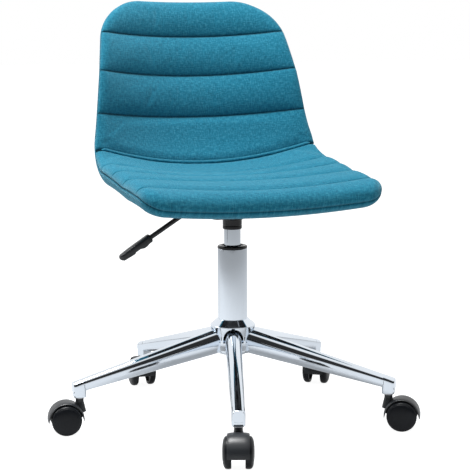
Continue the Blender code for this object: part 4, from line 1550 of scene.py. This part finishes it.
# ---- casters -------------------------------------------------------------------------------------
@dataclass
class Casters:
    """Twin-wheel casters: a hood over two domed wheels, swivelling on a stem."""

    wheel_r: float = 0.0250
    inner_y: float = 0.0107
    tread_y: float = 0.0196
    dome_y: float = 0.0247
    hood_r: float = 0.0300
    hood_wall: float = 0.0036
    hood_half_width: float = 0.0172
    hood_ends: tuple[float, float] = (-6.0, 186.0)
    web_half_width: float = 0.0097
    web_upper_r: float = 0.0285
    web_lower_r: float = 0.0100
    neck_r: float = 0.0067

    def wheel(self) -> Patch:
        """A wheel about Y: crowned tread, rounded shoulder, domed face with a shallow ring and a cap.

        Returns:
            The surface.
        """
        r = self.wheel_r
        corners = [(0, self.inner_y + 0.004), (r - 0.006, self.inner_y + 0.004), (r - 0.005, self.inner_y),
                   (r - 0.0006, self.inner_y), (r, self.inner_y + 0.0030), (r, self.tread_y - 0.002),
                   (r - 0.0012, self.tread_y + 0.0010), (r * 0.80, self.dome_y - 0.0018),
                   (r * 0.40, self.dome_y - 0.0002), (0, self.dome_y)]
        profile = rounded(corners, [0.001, 0.001, 0.0012, 0.003, 0.002, 0.0022, 0.006, 0.006], 6)
        radius, out = profile.T
        groove = 0.00035 * np.exp(-((radius - r * 0.885) / 0.00045) ** 2) * (out > self.tread_y)
        return laid_along_y(lathe(np.stack([radius, out - groove], -1), 96))

    def hood(self) -> Patch:
        """The arched hood about the axle: a rounded bar bent round it, thinning to a point at both tips.

        Returns:
            The surface.
        """
        phi = np.radians(np.linspace(*self.hood_ends, 73))
        taper = np.clip(np.minimum(phi - phi[0], phi[-1] - phi) / math.radians(16), 0, 1)
        wall = self.hood_wall * (0.25 + 0.75 * taper ** 0.7)
        section = round_rectangle(1.0, 1.0, 0.42, 6)
        across = section[:, 1] * 2 * self.hood_half_width
        edge = np.abs(section[:, 1]) * 2
        crown = 0.0006 * edge ** 6
        r = self.hood_r - wall[:, None] * (0.5 - section[None, :, 0]) - crown
        x, z = r * np.cos(phi)[:, None], r * np.sin(phi)[:, None]
        return rings(np.stack([x, np.broadcast_to(across, x.shape), z], -1))

    def web(self) -> Patch:
        """The body between the wheels: a polar outline about the axle, wide above and narrow below.

        Its radius is lower + (upper - lower) smoothstep((sin a + 0.35) / 0.6), and its rims are rounded.

        Returns:
            The surface.
        """
        a = np.linspace(0, math.tau, 96, endpoint=False)
        share = smoothstep((np.sin(a) + 0.35) / 0.6)
        radius = self.web_lower_r + (self.web_upper_r - self.web_lower_r) * share
        inset = np.array([0.0016, 0.0006, 0, 0, 0.0006, 0.0016])
        y = self.web_half_width * np.array([-1, -0.96, -0.88, 0.88, 0.96, 1])
        r = radius[None, :] - inset[:, None]
        return rings(np.stack([r * np.cos(a), np.broadcast_to(y[:, None], r.shape), r * np.sin(a)], -1))

    def neck(self, top: float) -> Patch:
        """The neck round the stem, flaring where it meets the hood.

        Args:
            top: The height of its top.

        Returns:
            The surface.
        """
        profile = rounded([(0, 0.036), (self.neck_r + 0.004, 0.036), (self.neck_r + 0.0012, 0.0490),
                           (self.neck_r, 0.0530), (self.neck_r, top), (0, top)],
                          [0.001, 0.004, 0.003, 0.0008], 5)
        return lathe(profile, 48)

    def build(self) -> None:
        """Make the pieces of all five casters."""
        wheel, hood, web = self.wheel(), self.hood(), self.web()
        for number in range(1, 6):
            stem, axle = middle(f"caster_stem_{number}"), middle(f"caster_axle_{number}")
            turn = math.atan2(axle[1] - stem[1], axle[0] - stem[0])
            at_stem = (stem[0], stem[1], 0)
            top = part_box(f"caster_housing_{number}")[1].z
            body = join([moved(hood, turn, axle), moved(web, turn, axle),
                         moved(self.neck(top), turn, at_stem)])
            housing = piece(f"caster_hood_{number}", body, 40)
            fit_out(housing, f"caster_{number}", "black_plastic", Finish.HOOD.material(),
                    f"caster_housing_{number}")
            for side, half_turn in (("a", 0.0), ("b", math.pi)):
                tyre = piece(f"wheel_{number}{side}_moulding", moved(wheel, turn + half_turn, axle), 40)
                fit_out(tyre, f"wheel_{number}{side}", "wheel_nylon", Finish.WHEEL.material(),
                        f"caster_wheel_{number}{side}")


# ---- gas lift and mechanism ----------------------------------------------------------------------
@dataclass
class Lift:
    """What shows of the gas lift above the column tube, and the mechanism under the seat."""

    column: np.ndarray
    sleeve_top: float = 0.2987
    sleeve_r: float = 0.0252
    sleeve_drop: float = 0.2940
    cylinder_r: float = 0.0140
    collar_r: float = 0.0163
    lip_r: float = 0.0181
    lever_r: float = 0.0040
    lever_bend: float = 0.020
    grip_length: float = 0.063

    def sleeve(self) -> Patch:
        """The black cap ring on the tube and the sleeve below it.

        Returns:
            The surface.
        """
        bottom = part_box("guide_sleeve")[0].z
        bore = self.cylinder_r + 0.0003
        profile = rounded([(bore, bottom), (0.0222, bottom), (0.0222, self.sleeve_drop),
                           (self.sleeve_r, self.sleeve_drop), (self.sleeve_r, self.sleeve_top - 0.0012),
                           (self.sleeve_r - 0.0022, self.sleeve_top), (0.0190, self.sleeve_top - 0.0006),
                           (0.0175, self.sleeve_top - 0.0022), (bore, self.sleeve_top - 0.0022)],
                          [0.0002, 0.0002, 0.0003, 0.0012, 0.0012, 0.0008, 0.0008], 5)
        return lathe(profile, 96, True)

    def cylinder(self) -> Patch:
        """The inner tube with its crimped lower end.

        Returns:
            The surface.
        """
        low, high = (corner.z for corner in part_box("gas_cylinder"))
        r = self.cylinder_r
        profile = rounded([(0.0053, low), (r - 0.0015, low), (r, low + 0.004), (r, high - 0.001),
                           (r - 0.001, high), (0.0040, high), (0.0040, high - 0.008), (0.012, high - 0.008),
                           (0.012, low + 0.008),
                           (0.0053, low + 0.008)], 0.001, 4)
        return lathe(profile, 96, True)

    def collar(self) -> Patch:
        """The socket that the inner tube is wedged in, with a lip against the tray and two shallow rings.

        Returns:
            The surface.
        """
        low, high = (corner.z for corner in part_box("lift_socket"))
        bore, lip = self.cylinder_r + 0.0003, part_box("mechanism_box")[0].z - 0.0003
        profile = rounded([(bore, low), (self.collar_r - 0.0010, low), (self.collar_r, low + 0.0012),
                           (self.collar_r, low + 0.0060), (self.collar_r - 0.0005, low + 0.0066),
                           (self.collar_r, low + 0.0072), (self.collar_r, lip - 0.0042),
                           (self.lip_r, lip - 0.0036), (self.lip_r, lip), (self.collar_r, lip),
                           (self.collar_r, high), (bore, high)], 0.0004, 3)
        return lathe(profile, 96, True)

    def plate(self) -> Patch:
        """The seat plate: round-cornered outline rings, rounded over at both faces.

        Returns:
            The surface.
        """
        low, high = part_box("seat_plate")
        size, mid = high - low, (low + high) / 2
        inset = np.array([0.0014, 0.0004, 0, 0, 0.0004, 0.0014])
        heights = low.z + size.z * np.array([0, 0.08, 0.35, 0.65, 0.92, 1])
        stack = [np.column_stack([round_rectangle(size.x - 2 * d, size.y - 2 * d, 0.014 - d) + (mid.x, mid.y),
                                  np.full(36, z)]) for d, z in zip(inset, heights)]
        return rings(np.array(stack))

    def tray(self) -> Patch:
        """The pressed tray under the plate: rounded outside, open at the top.

        Returns:
            The surface.
        """
        low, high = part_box("mechanism_box")
        size, mid = high - low, (low + high) / 2
        wall, floor_z = 0.002, low.z + 0.002
        inset = np.array([0.0045, 0.0015, 0, 0, wall, wall, wall + 0.0015, wall + 0.004])
        heights = np.array([low.z, low.z + 0.0006, low.z + 0.003, high.z, high.z, floor_z + 0.003,
                            floor_z + 0.0006, floor_z])
        stack = [np.column_stack([round_rectangle(size.x - 2 * d, size.y - 2 * d, 0.009 - d * 0.5)
                                  + (mid.x, mid.y), np.full(36, z)]) for d, z in zip(inset, heights)]
        return rings(np.array(stack))

    def bolt(self) -> Patch:
        """A flanged hexagon bolt, head down. At an angle from a flat its radius is the flat over the cosine.

        Returns:
            The surface.
        """
        a = np.linspace(0, math.tau, 72, endpoint=False)
        hexagon = 0.0050 / np.cos((a % (math.pi / 3)) - math.pi / 6)
        low, high = (corner.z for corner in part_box("seat_bolt_1"))
        flange = low + 0.0030
        levels = [(low, np.minimum(hexagon, 0.0051)), (low + 0.0006, hexagon), (flange, hexagon),
                  (flange, np.full(72, 0.0072)), (flange + 0.0010, np.full(72, 0.0074)),
                  (flange + 0.0010, np.full(72, 0.0030)), (high - 0.001, np.full(72, 0.0030)),
                  (high, np.full(72, 0.0022))]
        return rings(np.array([np.stack([r * np.cos(a), r * np.sin(a), np.full(72, z)], -1)
                               for z, r in levels]))

    def lever_line(self) -> tuple[np.ndarray, np.ndarray]:
        """Pivot-side start and grip tip of the lever, in the plane of its bends.

        Returns:
            The values, as an array.
        """
        pivot, grip = middle("lever_pivot_pin"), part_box("lever_grip")
        return pivot, np.array([grip[0].x - 0.001, pivot[1], grip[0].z + 0.0035])

    def bar_path(self) -> np.ndarray:
        """The bar's centre line: level over the pivot, then one round bend down to the grip.

        Returns:
            The values, as an array.
        """
        pivot, tip = self.lever_line()
        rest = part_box("height_lever")
        bend_x = pivot[0] - 0.049
        corners = [(rest[1].x - 0.0005, pivot[2]), (bend_x, pivot[2]), (tip[0] + 0.016, tip[2] + 0.010)]
        flat = rounded(corners, self.lever_bend * 0.33, 12)
        return np.stack([flat[:, 0], np.full(len(flat), pivot[1]), flat[:, 1]], -1)

    def grip(self) -> Patch:
        """The handle: flat on top, its underside stepped for the fingers, and rounded at the tip.

        Returns:
            The surface.
        """
        pivot, tip = self.lever_line()
        back = np.array([pivot[0] - 0.049, pivot[1], pivot[2]]) - tip
        back /= np.linalg.norm(back)
        up = np.array([-back[2], 0, back[0]])
        up = up if up[2] > 0 else -up
        t = np.linspace(0, 1, 61)
        upper = np.interp(t, (0, 0.02, 0.07, 0.30, 0.96, 0.985, 1),
                          (0, 0.0034, 0.0054, 0.0064, 0.0072, 0.0068, 0.0054))
        lower = np.interp(t, (0, 0.02, 0.08, 0.36, 0.42, 0.45, 0.60, 0.66, 0.70, 0.80, 0.86, 0.97, 1),
                          (0, 0.0034, 0.0066, 0.0078, 0.0076, 0.0060, 0.0060, 0.0078, 0.0088, 0.0088, 0.0074,
                           0.0072, 0.0054))
        width = np.interp(t, (0, 0.02, 0.08, 0.5, 0.9, 0.975, 1),
                          (0, 0.0040, 0.0068, 0.0078, 0.0076, 0.0070, 0.0056))
        across, lift = superellipse(48, 3.4)
        height = np.where(lift[None, :] > 0, upper[:, None], lower[:, None]) * lift[None, :]
        centre = tip + np.outer(t * self.grip_length, back)
        aside = np.array([0, 1, 0])
        stack = centre[:, None] + (width[:, None] * across)[..., None] * aside + height[..., None] * up
        return rings(stack)

    def build(self) -> None:
        """Make the pieces of the lift and the mechanism."""
        at = (self.column[0], self.column[1], 0)
        steel = Finish.BLACK_STEEL.material()
        fit_out(piece("tube_cap_ring", moved(self.sleeve(), 0, at)), "base", "black_plastic",
                Finish.SLEEVE.material(), "guide_sleeve")
        fit_out(piece("lift_inner_tube", moved(self.cylinder(), 0, at)), "seat", "chrome",
                Finish.CHROME.material(), "gas_cylinder")
        fit_out(piece("lift_collar", moved(self.collar(), 0, at)), "seat", "black_steel",
                Finish.SLEEVE.material(), "lift_socket")
        fit_out(piece("mounting_plate", self.plate()), "seat", "black_steel", steel, "seat_plate")
        fit_out(piece("mechanism_tray", self.tray()), "seat", "black_steel", steel, "mechanism_box")
        bolt = self.bolt()
        for number in range(1, 5):
            place = middle(f"seat_bolt_{number}")
            fit_out(piece(f"flange_bolt_{number}", moved(bolt, 0, (place[0], place[1], 0)), 25), "seat",
                    "zinc_steel", Finish.ZINC.material(), f"seat_bolt_{number}")
        fit_out(piece("lever_bar", sweep(self.bar_path(), self.lever_r, 24)), "lever", "black_steel", steel,
                "height_lever")
        fit_out(piece("lever_handle", self.grip(), 50), "lever", "black_plastic", Finish.GRIP.material(),
                "lever_grip")


# ---- hidden pieces -------------------------------------------------------------------------------
def dress_kept_nodes() -> None:
    """Give every node that shows as it was packed its finish."""
    kept = {"thrust_bearing_lower": Finish.ZINC, "thrust_bearing_upper": Finish.ZINC,
            "piston_rod": Finish.ZINC,
            "retaining_clip": Finish.ZINC, "release_pin": Finish.ZINC, "lever_pivot_pin": Finish.ZINC,
            "bump_stop": Finish.RUBBER}
    for number in range(1, 6):
        kept[f"caster_stem_{number}"] = Finish.ZINC
        kept[f"caster_axle_{number}"] = Finish.ZINC
    for name, finish in kept.items():
        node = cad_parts[name]
        node.data.materials.clear()
        node.data.materials.append(finish.material())
        log.info("%s: %s", name, finish.name.lower())


# ---- studio --------------------------------------------------------------------------------------
@dataclass
class Studio:
    """Pale floor, soft lights, bright surroundings and the camera."""

    column: np.ndarray
    distance: float = 2.36
    height: float = 0.647
    azimuth: float = math.radians(20.3)
    pitch: float = math.radians(8.0)
    yaw: float = math.radians(0.11)
    roll: float = math.radians(-0.25)
    lens: float = 108.4
    floor_size: float = 60.0
    floor_lift: float = 0.70
    floor_glow: float = 0.24
    camera_side: tuple = ((0.0, 0.03), (0.55, 0.03), (0.66, 0.95), (1.0, 1.0))
    far_side: tuple = ((0.0, 1.0), (1.0, 1.0))
    even: tuple = ((0.0, 0.28), (1.0, 0.46))

    def camera(self) -> None:
        """Stand the camera to the sitter's right of the chair's front, a little above it."""
        data = bpy.data.cameras.new("camera")
        data.lens = self.lens
        data.sensor_width = 36.0
        data.clip_end = 100
        camera = bpy.data.objects.new("camera", data)
        back = Vector((-math.sin(self.azimuth), -math.cos(self.azimuth), 0)) * self.distance
        camera.location = Vector((self.column[0], self.column[1], self.height)) + back
        aim = Euler((math.pi / 2 - self.pitch, 0, -self.azimuth - self.yaw)).to_matrix()
        camera.rotation_euler = (aim @ Euler((0, 0, self.roll)).to_matrix()).to_euler()
        bpy.context.scene.collection.objects.link(camera)
        bpy.context.scene.camera = camera

    def lamp(self, name: str, at: tuple[float, float, float], size: tuple[float, float],
             watts: float) -> None:
        """A soft rectangular lamp aimed at the seat.

        Args:
            name: The lamp's name.
            at: Where it stands.
            size: Its width and height.
            watts: Its power.
        """
        data = bpy.data.lights.new(name, "AREA")
        data.shape = "RECTANGLE"
        data.size, data.size_y = size
        data.energy = watts
        lamp = bpy.data.objects.new(name, data)
        lamp.location = at
        target = Vector((self.column[0], self.column[1], 0.40))
        lamp.rotation_euler = (target - Vector(at)).to_track_quat("-Z", "Y").to_euler()
        bpy.context.scene.collection.objects.link(lamp)

    def floor(self) -> None:
        """A wide pale floor."""
        mesh = bpy.data.meshes.new("floor")
        side = self.floor_size / 2
        corners = [(-side, -side, 0), (side, -side, 0), (side, side, 0), (-side, side, 0)]
        mesh.from_pydata(corners, [], [(0, 1, 2, 3)])
        obj = bpy.data.objects.new("floor", mesh)
        bpy.context.scene.collection.objects.link(obj)
        g = Graph("floor")
        tint = g.mix(g.spread(g.noise(g.object_coords(), 3, 2), 0, 1), rgba((0.42, 0.43, 0.44)),
                     rgba((0.44, 0.45, 0.46)))
        seen = g.maths("MULTIPLY", g.node("ShaderNodeLightPath").outputs["Is Camera Ray"], self.floor_lift)
        seen = g.maths("ADD", seen, self.floor_glow)
        mesh.materials.append(g.finish(Base_Color=tint, Roughness=0.9, Specular_IOR_Level=0.0,
                                       Emission_Color=rgba((1, 1, 1)), Emission_Strength=seen))

    def surroundings(self) -> None:
        """A studio whose far side is bright and whose camera side is dark near the horizon.

        The light depends on the height z of the direction, and on how far it points to the camera's side.
        Only glossy surfaces mirror that. Everything else gets an even light that grows towards the top.
        """
        world = bpy.data.worlds.new("surroundings")
        bpy.context.scene.world = world
        g = Graph(world)
        direction = g.node("ShaderNodeTexCoord").outputs["Generated"]
        split = g.node("ShaderNodeSeparateXYZ")
        g.link(direction, split.inputs[0])
        facing = g.node("ShaderNodeVectorMath", operation="DOT_PRODUCT")
        facing.inputs[1].default_value = (-math.sin(self.azimuth), -math.cos(self.azimuth), 0)
        g.link(direction, facing.inputs[0])
        near = g.spread(facing.outputs["Value"], 0, 1, -0.10, 0.25)
        camera_side = g.ramp(split.outputs["Z"], self.camera_side)
        far_side = g.ramp(split.outputs["Z"], self.far_side)
        mirrored = g.mix(near, far_side, camera_side)
        even = g.ramp(split.outputs["Z"], self.even)
        path = g.node("ShaderNodeLightPath")
        seen = g.mix(path.outputs["Is Glossy Ray"], even, mirrored)
        colour = g.mix(path.outputs["Is Camera Ray"], seen, rgba((1, 1, 1)))
        g.link(colour, g.tree.nodes["Background"].inputs["Color"])

    def build(self) -> None:
        """Set up the studio."""
        self.camera()
        self.floor()
        self.surroundings()
        self.lamp("key", (-0.50, -0.02, 2.7), (1.0, 1.0), 94)
        self.lamp("rim", (-1.7, 0.9, 1.5), (0.8, 0.8), 13)
        bpy.context.scene.view_settings.view_transform = "Standard"


def main() -> None:
    """Build the chair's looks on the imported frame."""
    logging.basicConfig(level=logging.INFO, format="%(message)s")
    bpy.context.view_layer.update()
    column = middle("column_tube")
    Studio(column).build()
    Base(column).build()
    Casters().build()
    Lift(column).build()
    Upholstery(Shell(column)).build()
    dress_kept_nodes()


if __name__ == "__main__":
    main()
